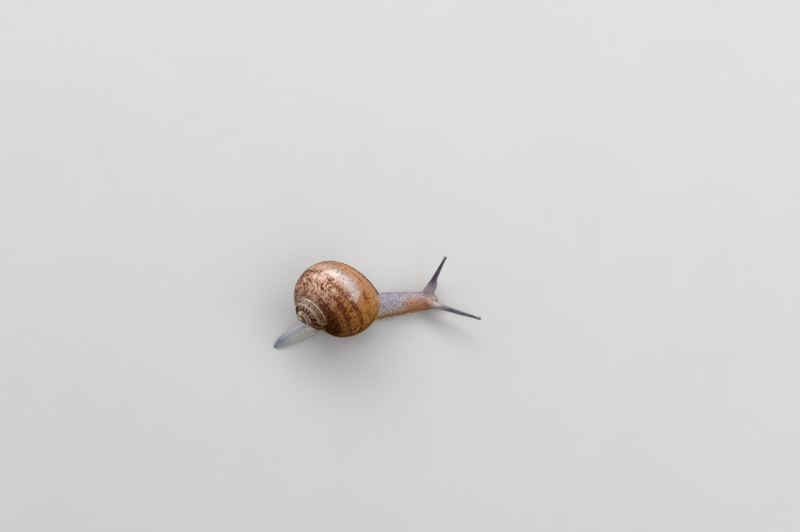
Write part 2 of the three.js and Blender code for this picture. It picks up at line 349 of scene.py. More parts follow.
class Value:
    """A number, place or colour that nodes work out, so that sums of numbers read as sums."""

    def __init__(self, graph: "Graph", socket: bpy.types.NodeSocket) -> None:
        """Keep the graph, and the output that gives the value."""
        self.graph, self.socket = graph, socket

    def _with(self, operation: str, other: Any = 0.0) -> "Value":
        """Work out a number; operation is one of the Math node's names."""
        return self.graph.take("Math", 0, {0: self, 1: other}, operation=operation)

    def __add__(self, other: Any) -> "Value":
        """Return the sum."""
        return self._with("ADD", other)

    def __sub__(self, other: Any) -> "Value":
        """Return the difference."""
        return self._with("SUBTRACT", other)

    def __mul__(self, other: Any) -> "Value":
        """Return the product."""
        return self._with("MULTIPLY", other)

    def __truediv__(self, other: Any) -> "Value":
        """Return the quotient."""
        return self._with("DIVIDE", other)

    def __abs__(self) -> "Value":
        """Return the number without its sign."""
        return self._with("ABSOLUTE")

    def larger(self, other: Any) -> "Value":
        """Return the larger of two numbers."""
        return self._with("MAXIMUM", other)

    def span(self, low: float, high: float, start: float = 0, end: float = 1) -> "Value":
        """Ease from start, where the number is low, to end, where it is high."""
        inputs = {"Value": self, "From Min": low, "From Max": high, "To Min": start, "To Max": end}
        return self.graph.take("MapRange", 0, inputs, interpolation_type="SMOOTHSTEP")


class Graph:
    """Places and joins the nodes of one material or node group."""

    def __init__(self, tree: bpy.types.NodeTree) -> None:
        """Keep the tree that nodes are added to."""
        self.tree = tree

    def fill(self, node: bpy.types.Node, inputs: dict[Any, Any]) -> None:
        """Join values to a node's inputs, or set them.

        Args:
            node: The node.
            inputs: Values, numbers or colours for its inputs, by name or number.
        """
        for name, value in inputs.items():
            socket = node.inputs[name]
            if isinstance(value, Value):
                self.tree.links.new(value.socket, socket)
            else:
                socket.default_value = (*value, 1) if socket.type == "RGBA" else value

    def put(self, kind: str, inputs: dict[Any, Any], **settings: Any) -> bpy.types.Node:
        """Add a node.

        Args:
            kind: Its type, without the ShaderNode that starts it.
            inputs: What its inputs get, by name or number.
            **settings: Other settings of the node.

        Returns:
            The node.
        """
        node = self.tree.nodes.new(f"ShaderNode{kind}")
        for name, value in settings.items():
            setattr(node, name, value)
        self.fill(node, inputs)
        return node

    def take(self, kind: str, output: str | int, inputs: dict[Any, Any], **settings: Any) -> Value:
        """Add a node as put does, and take one of its outputs."""
        return Value(self, self.put(kind, inputs, **settings).outputs[output])

    def read(self, name: str) -> Value:
        """Read a number stored on the mesh."""
        return self.take("Attribute", "Fac", {}, attribute_name=name)

    def stretch(self, place: Value, scale: tuple[float, float, float]) -> Value:
        """Stretch a place by a scale for each axis."""
        return self.take("Mapping", 0, {"Vector": place, "Scale": scale})

    def place(self, name: str, scale: tuple[float, float, float] = (1, 1, 1)) -> Value:
        """Read a place stored on the mesh, stretched by scale."""
        return self.stretch(self.take("Attribute", "Vector", {}, attribute_name=name), scale)

    def mix(self, share: Any, first: Any, second: Any, mode: str = "MIX") -> Value:
        """Blend two colours by the share of the second; mode is one of the Mix node's names."""
        inputs = {0: share, 6: first, 7: second}
        return self.take("Mix", 2, inputs, data_type="RGBA", blend_type=mode)

    def noise(self, place: Value, scale: Any, detail: float = 3, rough: float = 0.55,
              twist: float = 0) -> Value:
        """Make cloudy noise from 0 to 1; detail counts its finer layers, rough is how strong they are."""
        inputs = {"Vector": place, "Scale": scale, "Detail": detail, "Roughness": rough, "Distortion": twist}
        return self.take("TexNoise", "Fac", inputs)

    def cells(self, place: Value, scale: float, feature: str = "F1") -> Value:
        """Measure distances in a cell pattern; feature is one of the Voronoi node's names."""
        return self.take("TexVoronoi", "Distance", {"Vector": place, "Scale": scale}, feature=feature)


class Effects:
    """Shader node groups that several finishes share, each built once."""

    _made: dict[str, bpy.types.NodeTree] = {}
    _kinds = {"Vector": "Vector", "Light": "Color", "Dark": "Color", "Color": "Color"}

    @classmethod
    def _add_sockets(cls, tree: bpy.types.NodeTree, way: str, names: Iterable[str]) -> None:
        """Give a group its inputs or outputs.

        Args:
            tree: The group.
            way: INPUT or OUTPUT.
            names: What they are called.
        """
        for name in names:
            kind = f"NodeSocket{cls._kinds.get(name, 'Float')}"
            tree.interface.new_socket(name=name, in_out=way, socket_type=kind)

    @classmethod
    def _use(cls, graph: Graph, join: Callable[..., dict[str, Value]], inputs: dict[str, Any]) -> list[Value]:
        """Place a group in a material, building it first where it is new.

        Args:
            graph: The material's graph.
            join: Puts the group's nodes, and names the group.
            inputs: What the group's inputs get in this material.

        Returns:
            The group's outputs.
        """
        name = join.__name__.strip("_")
        if name not in cls._made:
            tree = bpy.data.node_groups.new(name, "ShaderNodeTree")
            inner = Graph(tree)
            cls._add_sockets(tree, "INPUT", inputs)
            start = tree.nodes.new("NodeGroupInput")
            results = join(inner, *(Value(inner, start.outputs[label]) for label in inputs))
            cls._add_sockets(tree, "OUTPUT", results)
            inner.fill(tree.nodes.new("NodeGroupOutput"), results)
            cls._made[name] = tree
        node = graph.put("Group", {}, node_tree=cls._made[name])
        graph.fill(node, inputs)
        return [Value(graph, socket) for socket in node.outputs]

    @staticmethod
    def _mottle(graph: Graph, place: Value, scale: Value, sharpness: Value,
                *colours: Value) -> dict[str, Value]:
        """Put the nodes of mottle.

        Args:
            graph: The group's graph.
            place: Where the pattern is read.
            scale: How fine it is.
            sharpness: How hard the blotches' edges are.
            *colours: The ground's and the blotches'.

        Returns:
            The group's outputs by name.
        """
        broad = graph.noise(place, scale, 4, 0.6)
        fine = graph.noise(place, scale * 5.3, 2, 0.5)
        centred = (broad * 0.7 + fine * 0.3 - 0.5) * sharpness
        return {"Color": graph.mix(graph.take("Clamp", 0, {0: centred + 0.5}), *colours)}

    @staticmethod
    def _moisture(graph: Graph, place: Value, scale: Value, wet: Value, dry: Value) -> dict[str, Value]:
        """Put the nodes of moisture; wet and dry are the roughness under the film and beside it."""
        film = graph.noise(place, scale, 3, 0.6).span(0.38, 0.62)
        return {"Roughness": film * (wet - dry) + dry, "Film": film}

    @classmethod
    def mottle(cls, graph: Graph, place: Value, scale: float, sharpness: float, light: Colour,
               dark: Colour) -> Value:
        """Lay cloudy dark blotches, with finer grains in them, on a light ground."""
        inputs = {"Vector": place, "Scale": scale, "Sharpness": sharpness, "Light": light, "Dark": dark}
        return cls._use(graph, cls._mottle, inputs)[0]

    @classmethod
    def moisture(cls, graph: Graph, place: Value, scale: float, wet: float, dry: float) -> list[Value]:
        """Return the uneven roughness of a moist surface, and the thickness of its film from 0 to 1."""
        return cls._use(graph, cls._moisture, {"Vector": place, "Scale": scale, "Wet": wet, "Dry": dry})


def new_material(name: str) -> tuple[bpy.types.Material, Graph, bpy.types.Node]:
    """Start a material.

    Args:
        name: Its name.

    Returns:
        The material, its graph and its Principled node.
    """
    material = bpy.data.materials.new(name)
    material.use_nodes = True
    return material, Graph(material.node_tree), material.node_tree.nodes["Principled BSDF"]


# --- Shell -------------------------------------------------------------------------------------


@dataclass(frozen=True)
class Coil:
    """The coiling of the shell: an ellipse that grows while it turns round an axis.

    Angles along the coil are in radians and end at 0 on the lip; sizes are those at the lip.
    A growth line is named by its angle where it crosses the outermost point of the whorl.
    """

    apex: tuple[float, float, float] = (-14.84, -5.7, 13.05)
    axis: tuple[float, float, float] = (-0.718, -0.652, 0.244)
    outward: tuple[float, float, float] = (0.569, -0.752, -0.333)
    late_growth: float = 0.0947
    early_growth: float = 0.1517
    growth_blend: float = 1.2
    centre_radius: float = 6.56
    centre_depth: float = 15.59
    depth_power: float = 1.083
    across: float = 7.49
    along: float = 10.03
    tilt: float = 0.165
    lip_slant: float = 0.41
    inner_radius: float = 0.12
    turns: float = 3.5
    wall: float = 0.5
    past_lip: float = 0.6
    open_phase: float = 0.96 * math.pi
    seam_rounds: int = 12

    def basis(self) -> tuple[Array, Array, Array]:
        """Work out the directions that angles and heights are measured by.

        Returns:
            The outward and sideways directions and the axis.
        """
        axis = unit(self.axis)
        sideways = unit(np.cross(axis, self.outward))
        return np.cross(sideways, axis), sideways, axis

    def scale(self, angle: Array) -> Array:
        """Work out how far the section has grown.

        Args:
            angle: True angle along the coil.

        Returns:
            Its size at that angle, against its size at the lip.
        """
        back = -np.asarray(angle, float)
        early = self.growth_blend * np.logaddexp(0, (back - TURN) / self.growth_blend)
        return np.exp(-(self.late_growth * back + (self.early_growth - self.late_growth) * early))

    def section(self, angle: Array, phase: Array, swell: Array | float) -> tuple[Array, Array]:
        """Return a point of the section.

        Args:
            angle: True angle along the coil.
            phase: Angle round the section; 0 is outermost, a quarter turn is towards the spire.
            swell: How far the section is swollen.

        Returns:
            Distance from the axis, and height along it.
        """
        scale = self.scale(angle)
        across = (self.across * scale + swell) * np.cos(phase)
        along = (self.along * scale + swell) * np.sin(phase)
        tilted = across * math.cos(self.tilt) - along * math.sin(self.tilt)
        rise = across * math.sin(self.tilt) + along * math.cos(self.tilt)
        radius = np.maximum(self.centre_radius * scale + tilted, self.inner_radius * scale)
        return radius, rise - self.centre_depth * scale**self.depth_power

    def point(self, line: Array, phase: Array, swell: Array | float = 0.0) -> Array:
        """Find the place of a phase on a growth line.

        Args:
            line: Growth line.
            phase: Angle round the section.
            swell: How far the section is swollen.

        Returns:
            The place.
        """
        angle = line + self.lip_slant * np.sin(phase)
        radius, height = self.section(angle, phase, swell)
        outward, sideways, axis = self.basis()
        flat = radius[..., None] * (np.cos(angle)[..., None] * outward - np.sin(angle)[..., None] * sideways)
        return np.asarray(self.apex) + flat + height[..., None] * axis

    def relative(self, angle: Array, radius: Array, height: Array) -> tuple[Array, Array, Array]:
        """Find a place against the section at an angle.

        Args:
            angle: True angle of the section.
            radius: The place's distance from the axis.
            height: Its height along the axis.

        Returns:
            Its distance outside the section, its phase, and its growth line.
        """
        scale = self.scale(angle)
        out = radius - self.centre_radius * scale
        rise = height + self.centre_depth * scale**self.depth_power
        across = out * math.cos(self.tilt) + rise * math.sin(self.tilt)
        along = rise * math.cos(self.tilt) - out * math.sin(self.tilt)
        share = np.hypot(across / (self.across * scale), along / (self.along * scale))
        distance = np.hypot(across, along) * (1 - 1 / np.maximum(share, 1e-6))
        phase = np.arctan2(along / self.along, across / self.across)
        return distance, phase, angle - self.lip_slant * np.sin(phase)

    def locate(self, points: Array) -> tuple[Array, Array, Array]:
        """Find places against the axis.

        Args:
            points: Places.

        Returns:
            Their angle round the axis, distance from it and height along it.
        """
        outward, sideways, axis = self.basis()
        from_apex = points - np.asarray(self.apex)
        out, side = from_apex @ outward, from_apex @ sideways
        return np.arctan2(-side, out), np.hypot(out, side), from_apex @ axis

    def seam_phase(self, line: Array) -> Array:
        """Find the phase at which each growth line meets the whorl before it.

        Args:
            line: Growth lines.

        Returns:
            A phase for each, nearly half a turn where there is no whorl before.
        """
        angles = np.linspace(-self.turns * TURN, self.past_lip, 700)
        phases = np.linspace(0, math.pi, 361)
        grid_angle, grid_phase = np.meshgrid(angles, phases, indexing="ij")
        radius, height = self.section(grid_angle, grid_phase, 0.0)
        depth, _, _ = self.relative(grid_angle - TURN, radius, height)
        entered = (depth[:, 1:] <= 0) & (depth[:, :-1] > 0)
        first = np.argmax(entered, axis=1)
        rows = np.arange(len(angles))
        before, after = depth[rows, first], depth[rows, first + 1]
        share = before / np.where(before == after, 1, before - after)
        none = ~entered.any(axis=1) | (angles < -(self.turns - 1) * TURN)
        found = np.where(none, self.open_phase, phases[first] + (phases[1] - phases[0]) * share)
        seam = np.full(line.shape, 2.0)
        for _ in range(self.seam_rounds):
            seam = 0.5 * seam + 0.5 * np.interp(line + self.lip_slant * np.sin(seam), angles, found)
        return seam

    def covered_phase(self, line: Array) -> Array:
        """Find the phase at which the whorl after it covers each growth line.

        Args:
            line: Growth lines more than a turn behind the lip.

        Returns:
            A phase for each.
        """
        newer = line + TURN
        seam = self.seam_phase(newer)
        angle = newer + self.lip_slant * np.sin(seam)
        radius, height = self.section(angle, seam, 0.0)
        _, phase, _ = self.relative(angle - TURN, radius, height)
        return phase


@dataclass(frozen=True)
class ShellFinish:
    """Thin horny shell: golden by the lip, browner and pinker behind, olive on the spire."""

    gold: Colour = rgb(218, 152, 54)
    amber: Colour = rgb(178, 98, 14)
    ochre: Colour = rgb(160, 100, 20)
    tan: Colour = rgb(246, 196, 166)
    # Pale lilac for the band where the lights' sheen falls: partly a pale band of the shell, partly a painted
    # highlight
    pearl: Colour = rgb(190, 166, 158)
    rose: Colour = rgb(228, 154, 122)
    straw: Colour = rgb(250, 214, 184)
    chestnut: Colour = rgb(134, 60, 22)
    umber: Colour = rgb(86, 28, 6)
    olive: Colour = rgb(124, 104, 60)
    moss: Colour = rgb(146, 122, 88)
    lilac: Colour = rgb(226, 196, 178)
    bone: Colour = rgb(228, 208, 176)
    ivory: Colour = rgb(250, 234, 212)
    rim: Colour = rgb(228, 208, 124)
    # Painted shade: dark tint multiplied over the part of the last turn next to its seam
    painted_shade_tint: Colour = (0.2, 0.1, 0.04)
    roughness: float = 0.27
    bands: tuple[tuple[float, float, float], ...] = (
        (0.07, 0.05, 0.6), (0.212, 0.026, 0.7), (0.33, 0.026, 0.8), (0.7, 0.045, 0.6),
    )
    blotches: tuple[tuple[float, float, float, float, float], ...] = (
        (-1.67, 0.07, 0.5, 0.05, 1.0), (-0.62, 0.102, 0.28, 0.036, 1.0), (-1.2, 0.21, 0.5, 0.03, 0.9),
        (-0.9, 0.328, 0.3, 0.026, 1.0), (-1.75, 0.302, 0.32, 0.02, 0.95), (-0.92, 0.477, 0.16, 0.02, 1.0),
        (-3.05, 0.26, 0.2, 0.02, 0.9), (-2.85, 0.16, 0.18, 0.02, 0.9), (-0.55, 0.43, 0.16, 0.02, 0.7),
        (-0.5, 0.57, 0.2, 0.02, 0.6), (-1.35, 0.56, 0.3, 0.012, 0.6),
    )
    threads: tuple[float, ...] = (0.6, 0.76)
    thread_width: float = 0.02
    young_part: tuple[float, float] = (-2.3, -1.3)
    spire_part: tuple[float, float] = (-6.1, -6.5)
    first_turn: tuple[float, float] = (-14.7, -15.4)

    def build(self) -> bpy.types.Material:
        """Build the material.

        Returns:
            The shell's material.
        """
        material, graph, shader = new_material("shell_horn")
        grow, across, edge = (graph.read(name) for name in ("grow", "across", "edge"))
        lines, even = graph.place("coil", (1.0, 0.16, 1.0)), graph.place("coil")
        age = grow + (graph.noise(even, 0.3, 3) - 0.5) * 1.3

        new = Effects.mottle(graph, lines, 0.55, 2.2, self.gold, self.amber)
        new = graph.mix(across.span(0.4, 0.06, 0, 0.8), new, self.ochre)
        # Pale lilac band under the lights' sheen: partly a pale band of the shell, partly a painted highlight
        # that whitens the sheen
        clear = across.span(0.3, 0.42) * grow.span(-0.85, -1.45, 0, 0.85) * across.span(0.58, 0.46)
        new = graph.mix(clear, new, self.pearl)
        new = graph.mix(across.span(0.46, 0.6, 0, 0.35), new, self.tan)
        old = Effects.mottle(graph, lines, 0.8, 2.8, self.tan, self.rose)
        age = age + across.span(0.36, 0.52, 0, 0.9)
        colour = graph.mix(age.span(*self.young_part), old, new)
        colour = self._flecks(graph, colour, age, across, even)
        colour = self._blotches(graph, colour, grow, across)
        # Painted shade: darken the part of the last turn next to its seam, the side the lights leave in shade
        shade = across.span(0.24, 0.03, 0, 0.85) * grow.span(-2.2, -0.8)
        colour = graph.mix(shade, colour, self.painted_shade_tint, "MULTIPLY")
        colour = self._spire(graph, colour, grow, across, even)

        hem = grow.span(-0.34, -0.26) * grow.span(-0.13, -0.18)
        colour = graph.mix(hem * graph.noise(even, 1.5, 2).span(0.48, 0.54, 0, 0.75), colour, self.umber)
        skin = Effects.mottle(graph, lines, 0.9, 1.6, self.rim, self.gold)
        colour = graph.mix(edge * 0.9, colour, skin)
        self._surface(graph, shader, lines, across, edge)
        graph.fill(shader, {"Base Color": colour})
        return material

    @staticmethod
    def _drawn(graph: Graph, along: float, across: float, *settings: float) -> Value:
        """Make noise with a scale of its own along the coil and across it."""
        return graph.noise(graph.place("coil", (along, across, 1.0)), *settings)

    def _flecks(self, graph: Graph, colour: Value, age: Value, across: Value, even: Value) -> Value:
        """Lay growth streaks, broken spiral bands, flecks, pale zigzags and dots over the ground colour.

        Args:
            graph: The material's graph.
            colour: The ground colour.
            age: Growth line, made uneven.
            across: Share of the way from the seam to the base.
            even: Place along and across the coil.

        Returns:
            The colour with them on it.
        """
        streak = self._drawn(graph, 1.0, 0.14, 1.05, 2, 0.55)
        ribs = graph.take("TexWave", "Fac", {"Vector": graph.place("coil", (1.0, 0.12, 1.0)), "Scale": 0.36,
                                             "Distortion": 4.0, "Detail": 3.0, "Detail Scale": 2.0})
        pale = streak.span(0.52, 0.6).larger(ribs.span(0.7, 0.88)) * age.span(-1.2, -2.6, 0.12, 0.66)
        colour = graph.mix(pale, colour, self.straw)

        drifted = across + (graph.noise(even, 0.7, 3) - 0.5) * 0.06
        inside = 0.0
        for middle, half, strength in self.bands:
            inside = abs(drifted - middle).span(half + 0.014, half - 0.01, 0, strength).larger(inside)
        inside = inside * self._drawn(graph, 0.3, 0.5, 0.8, 2).span(0.4, 0.54, 0.15, 1.0)
        flame = self._drawn(graph, 1.0, 0.36, 1.35, 4, 0.66, 0.8)
        aged = age.span(-1.3, -2.1, 0.0, 0.52) * across.span(0.42, 0.3, 0.4, 1)
        upper = across.span(0.36, 0.32, 0.08, 0.95) * age.span(-0.4, -0.8)
        dark = (inside * 0.9).larger(aged).larger(upper) * flame.span(0.5, 0.54)
        colour = graph.mix(dark * 0.9, colour, self.chestnut)
        colour = graph.mix(upper * flame.span(0.57, 0.61) * 0.8, colour, self.umber)

        dash = self._drawn(graph, 0.4, 1.2, 1.0, 3, 0.6, 0.5)
        colour = graph.mix(inside * dash.span(0.42, 0.48) * 0.85, colour, self.chestnut)
        deep = (inside * dash.span(0.48, 0.53)).larger(aged * dash.span(0.58, 0.62))
        colour = graph.mix(deep, colour, self.umber)

        bend = graph.noise(even, 0.8, 3)
        bends = graph.take("CombineXYZ", 0, {0: bend, 1: bend})
        swirl = graph.take("VectorMath", 0, {0: even, 1: bends}, operation="ADD")
        net = graph.cells(graph.stretch(swirl, (1.0, 0.5, 1.0)), 1.1, "DISTANCE_TO_EDGE")
        web = net.span(0.12, 0.05) * graph.noise(even, 1.1, 2).span(0.44, 0.56)
        colour = graph.mix(web * age.span(-1.2, -2.2, 0.1, 0.85), colour, self.straw)

        dots = graph.cells(graph.place("coil", (0.8, 1.1, 1.0)), 0.85)
        sparse = graph.noise(even, 0.7, 2).span(0.42, 0.5)
        return graph.mix(dots.span(0.3, 0.2) * (sparse * 0.95), colour, self.umber)

    def _blotches(self, graph: Graph, colour: Value, grow: Value, across: Value) -> Value:
        """Lay this shell's own dark blotches over the colour, each broken up along the growth lines.

        Args:
            graph: The material's graph.
            colour: The colour under them.
            grow: Growth line.
            across: Share of the way from the seam to the base.

        Returns:
            The colour with them on it.
        """
        inside = 0.0
        for line, middle, reach, half, strength in self.blotches:
            back, aside = (grow - line) / reach, (across - middle) / half
            inside = (back * back + aside * aside).span(1.6, 0.3, 0, strength).larger(inside)
        brush = self._drawn(graph, 1.0, 0.45, 2.3, 4, 0.62, 0.6)
        colour = graph.mix(inside * brush.span(0.45, 0.5) * 0.85, colour, self.chestnut)
        return graph.mix(inside * brush.span(0.53, 0.57), colour, self.umber)

    def _spire(self, graph: Graph, colour: Value, grow: Value, across: Value, even: Value) -> Value:
        """Colour the turns above the last one.

        Args:
            graph: The material's graph.
            colour: Colour of the last turn.
            grow: Growth line.
            across: Share of the way from the seam to the base.
            even: Place along and across the coil.

        Returns:
            The colour of all turns.
        """
        grey = Effects.mottle(graph, even, 1.3, 2.6, self.lilac, self.moss)
        brown = Effects.mottle(graph, even, 1.6, 2.4, self.olive, self.ochre)
        grey = graph.mix(grow.span(-8.6, -7.4) * 0.85, grey, brown)
        blotch = self._drawn(graph, 1.0, 0.5, 2.4, 4, 0.65).span(0.54, 0.6)
        grey = graph.mix(blotch * 0.6, grey, self.chestnut)

        pale = across.span(0.36, 0.44) * across.span(0.62, 0.55) * grow.span(-7.6, -8.6, 0.2, 0.75)
        grey = graph.mix(pale, grey, self.lilac)
        ticks = self._drawn(graph, 1.0, 0.16, 1.5, 2, 0.5, 0.4)
        grey = graph.mix(across.span(0.44, 0.36) * ticks.span(0.47, 0.51) * 0.97, grey, self.umber)
        beads = self._drawn(graph, 1.0, 0.8, 1.5, 2, 0.5, 0.4)
        row = across.span(0.5, 0.53) * across.span(0.79, 0.77)
        grey = graph.mix(row * beads.span(0.54, 0.58), grey, self.umber)

        rim = across.span(0.8, 0.825, 0, 0.95) * beads.span(0.58, 0.53, 0.15, 1)
        grey = graph.mix(rim * grow.span(-6.8, -8.2, 0.3, 1), grey, self.ivory)
        broken = graph.noise(even, 3.4, 1).span(0.43, 0.5) * grow.span(-9.6, -8.4, 0.25, 0.9)
        for middle in self.threads:
            thread = abs(across - middle).span(1.6 * self.thread_width, self.thread_width)
            grey = graph.mix(thread * broken, grey, self.umber)

        grey = graph.mix(grow.span(-13.0, -14.0) * 0.4, grey, brown)
        worn = self._drawn(graph, 1.0, 0.3, 1.6, 3).span(0.46, 0.58, 0, 0.8)
        bulb = graph.mix(worn, self.bone, self.olive)
        grey = graph.mix(grow.span(*self.first_turn), grey, bulb)
        return graph.mix(grow.span(*self.spire_part), colour, grey)

    def _surface(self, graph: Graph, shader: bpy.types.Node, lines: Value, across: Value,
                 edge: Value) -> None:
        """Set gloss, growth ridges and fine wrinkles.

        Args:
            graph: The material's graph.
            shader: The material's Principled node.
            lines: Place along and across the coil, drawn out along the growth lines.
            across: Share of the way from the seam to the base.
            edge: Mask of the thin skin at the lip.
        """
        rough, film = Effects.moisture(graph, lines, 0.5, self.roughness - 0.06, self.roughness + 0.08)
        film = (film * 0.25 + 0.4) * across.span(0.2, 0.34, 0.2, 1.4)
        ridges = self._drawn(graph, 1.0, 0.05, 3.2, 3, 0.6)
        wrinkle = self._drawn(graph, 1.0, 0.6, 2.6, 4, 0.6, 1.2)
        bumps = {"Height": ridges + wrinkle * 0.6, "Strength": 0.5, "Distance": 0.12 * MM}
        graph.fill(shader, {
            "Roughness": edge * 0.5 + rough,
            "Coat Weight": film * edge.span(1, 0),
            "Normal": graph.take("Bump", 0, bumps),
            "Specular IOR Level": 0.25,
            "Coat Roughness": 0.12,
            "Subsurface Weight": 0.12,
            "Subsurface Radius": (1.0, 0.5, 0.2),
            "Subsurface Scale": 0.6 * MM,
        })


@dataclass
class Shell:
    """The coiled shell, with its lip turned over a thin edge."""

    coil: Coil = field(default_factory=Coil)
    finish: ShellFinish = field(default_factory=ShellFinish)
    open_columns: int = 132
    hidden_columns: int = 14
    base_phase: float = -2.72
    overlap: float = 0.16
    fine_step: float = 0.055
    coarse_step: float = 0.085
    cap_rows: int = 9
    lining_depth: float = 1.0
    lining_rows: int = 26
    lining_power: float = 1.3
    lining_sink: float = 0.12
    edge_rows: int = 5
    lip_thickness: float = 0.22
    lip_flare: float = 0.06
    flare_from: float = -0.07
    notch: float = 0.012
    notch_from: float = -0.12
    skin_part: tuple[float, float] = (-0.12, -0.05)
    fade_columns: int = 8
    ridge_height: float = 0.045
    wrinkle_height: float = 0.03
    ridge_grain: tuple[float, float] = (0.55, 0.05)
    fine_grain: tuple[float, float] = (2.1, 0.1)
    wrinkle_grain: tuple[float, float] = (1.3, 0.55)
    seed: int = 5

    def growth_rows(self) -> Array:
        """Space the growth lines, closer on the small early turns.

        Returns:
            Their angles, from the tip of the spire to the lip.
        """
        lines = [0.0]
        reach = self.coil.centre_radius + self.coil.across
        while lines[-1] > -self.coil.turns * TURN:
            scale = float(self.coil.scale(lines[-1]))
            lines.append(lines[-1] - (self.fine_step + self.coarse_step * scale) / (reach * scale))
        lines[-1] = -self.coil.turns * TURN
        return np.array(lines[::-1])

    def columns(self, lines: Array) -> tuple[Array, Array]:
        """Spread the phases of each row, most of them over what shows.

        Args:
            lines: Growth lines of the rows.

        Returns:
            Phases, a row for each line, and the phase of each line's seam.
        """
        seam = self.coil.seam_phase(lines)
        buried = self.coil.covered_phase(np.minimum(lines, -TURN)) - self.overlap
        low = np.minimum(buried, seam - 0.4)
        low = low + (self.base_phase - low) * ease(-TURN - 0.9, -TURN - 0.3, lines)
        high = seam + self.overlap
        shown = np.linspace(0, 1, self.open_columns)
        hidden = np.linspace(0, 1, self.hidden_columns + 2)[1:-1]
        open_part = high[:, None] + (low - high)[:, None] * shown
        hidden_part = low[:, None] + (high - TURN - low)[:, None] * hidden
        return np.concatenate([open_part, hidden_part], axis=1), seam

    def relief(self, lines: Array, coil_place: Array, shown: Array) -> Array:
        """Work out how far the growth ridges and wrinkles lift each point.

        Args:
            lines: Growth line of each point.
            coil_place: Place of each point along and across the coil.
            shown: Share of the relief that each point takes.

        Returns:
            Heights in millimetres.
        """
        grain = Grain(self.seed)
        size = np.clip(self.coil.scale(lines), 0.15, 1)
        slow = grain.layered(coil_place * self.ridge_grain, 3)
        quick = grain.layered(coil_place * self.fine_grain + 40, 2)
        creases = grain.layered(coil_place * self.wrinkle_grain + 90, 3)
        ridges = self.ridge_height * (slow + 0.6 * quick)
        return (ridges + self.wrinkle_height * creases) * size * shown

    def outside(self) -> tuple[Array, Array, dict[str, Array]]:
        """Make the outer face, row by row from the tip of the spire to the lip.

        Returns:
            Points by row and column, the phases, and the values that the finish reads.
        """
        lines = self.growth_rows()
        phases, seam = self.columns(lines)
        grid = np.repeat(lines[:, None], phases.shape[1], axis=1)
        points = self.coil.point(grid, phases)
        run = np.cumsum(np.linalg.norm(np.diff(points, axis=1, prepend=points[:, :1]), axis=2), axis=1)
        overlap_run = np.array([np.interp(s, p[::-1], r[::-1]) for s, p, r in zip(seam, phases, run)])
        from_seam = run - overlap_run[:, None]
        reach = self.coil.centre_radius + self.coil.across
        travel = np.concatenate([[0], np.cumsum(np.diff(lines) * reach * self.coil.scale(lines[1:]))])
        coil_place = np.stack([np.repeat(travel[:, None], grid.shape[1], 1), from_seam], -1)
        last = self.open_columns - 1
        shown = ease(-0.3, 0.3, from_seam) * ease(last, last - self.fade_columns, np.arange(grid.shape[1]))
        lift = self.relief(grid.ravel(), coil_place.reshape(-1, 2), shown.ravel()).reshape(grid.shape)
        lift += self.lip_flare * ease(self.flare_from, 0.0, grid) ** 2
        wobble = Grain(self.seed + 1).layered(np.stack([phases[-1] * 5, phases[-1] * 0], -1), 3)
        notch = self.notch * wobble * ease(self.notch_from, 0, lines)[:, None] * shown
        points = self.coil.point(grid + notch, phases, lift)
        values = {
            "grow": grid,
            "across": np.clip(from_seam / np.maximum(from_seam[:, last : last + 1], 0.1), 0, 1.3),
            "coil": np.stack([coil_place[..., 0], from_seam, np.zeros_like(grid)], -1),
            "edge": ease(*self.skin_part, grid),
        }
        return points, phases, values

    def cap(self, ring: Array, ahead: Array) -> Array:
        """Round off the start of the coil.

        Args:
            ring: First ring of the outer face.
            ahead: The ring after it.

        Returns:
            Rings from the tip to the first ring, which is left out.
        """
        centre = ring.mean(0)
        back = unit(centre - ahead.mean(0))
        radius = np.linalg.norm(ring - centre, axis=1).mean()
        turn = np.linspace(0, math.pi / 2, self.cap_rows + 1)[:-1]
        shrunk = centre + (ring - centre) * np.sin(turn)[:, None, None]
        return shrunk + back * radius * np.cos(turn)[:, None, None]

    def lining(self, phases: Array, lip: Array) -> Array:
        """Turn the lip over its edge and run the inner face back.

        Args:
            phases: Phases of the lip's points.
            lip: The lip's points.

        Returns:
            Rings from the lip inwards.
        """
        rings = []
        across = self.coil.point(np.zeros_like(phases), phases, -self.lip_thickness) - lip
        forward = lip - self.coil.point(np.full_like(phases, -0.01), phases)
        forward /= np.maximum(np.linalg.norm(forward, axis=1, keepdims=True), 1e-9)
        for turn in np.linspace(0, math.pi, self.edge_rows + 2)[1:-1]:
            share = 0.5 * (1 - math.cos(turn))
            bulge = 0.5 * self.lip_thickness * math.sin(turn)
            rings.append(lip + across * share + forward * bulge)
        for share in np.linspace(0, 1, self.lining_rows):
            depth = self.lip_thickness + self.lining_sink * float(ease(0, 0.5, share))
            line = np.full_like(phases, -self.lining_depth * share**self.lining_power)
            rings.append(self.coil.point(line, phases, -depth))
        return np.array(rings)

    def build(self) -> bpy.types.Object:
        """Build the shell and dress it.

        Returns:
            The shell's object.
        """
        points, phases, values = self.outside()
        start = self.cap(points[0], points[1])
        inner = self.lining(phases[-1], points[-1])
        rings = np.concatenate([start, points, inner])
        rows, sides = rings.shape[:2]
        stored = {}
        for name, value in values.items():
            whole = np.pad(value, [(len(start), len(inner))] + [(0, 0)] * (value.ndim - 1), mode="edge")
            stored[name] = whole.reshape(rows * sides, *value.shape[2:])
        surface = Surface(rings.reshape(-1, 3), tube_faces(rows, sides), stored)
        piece = surface.piece("shell_coil", self.finish.build())
        self.close_ends(piece, range(sides), range((rows - 1) * sides, rows * sides))
        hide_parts("shell")
        return piece

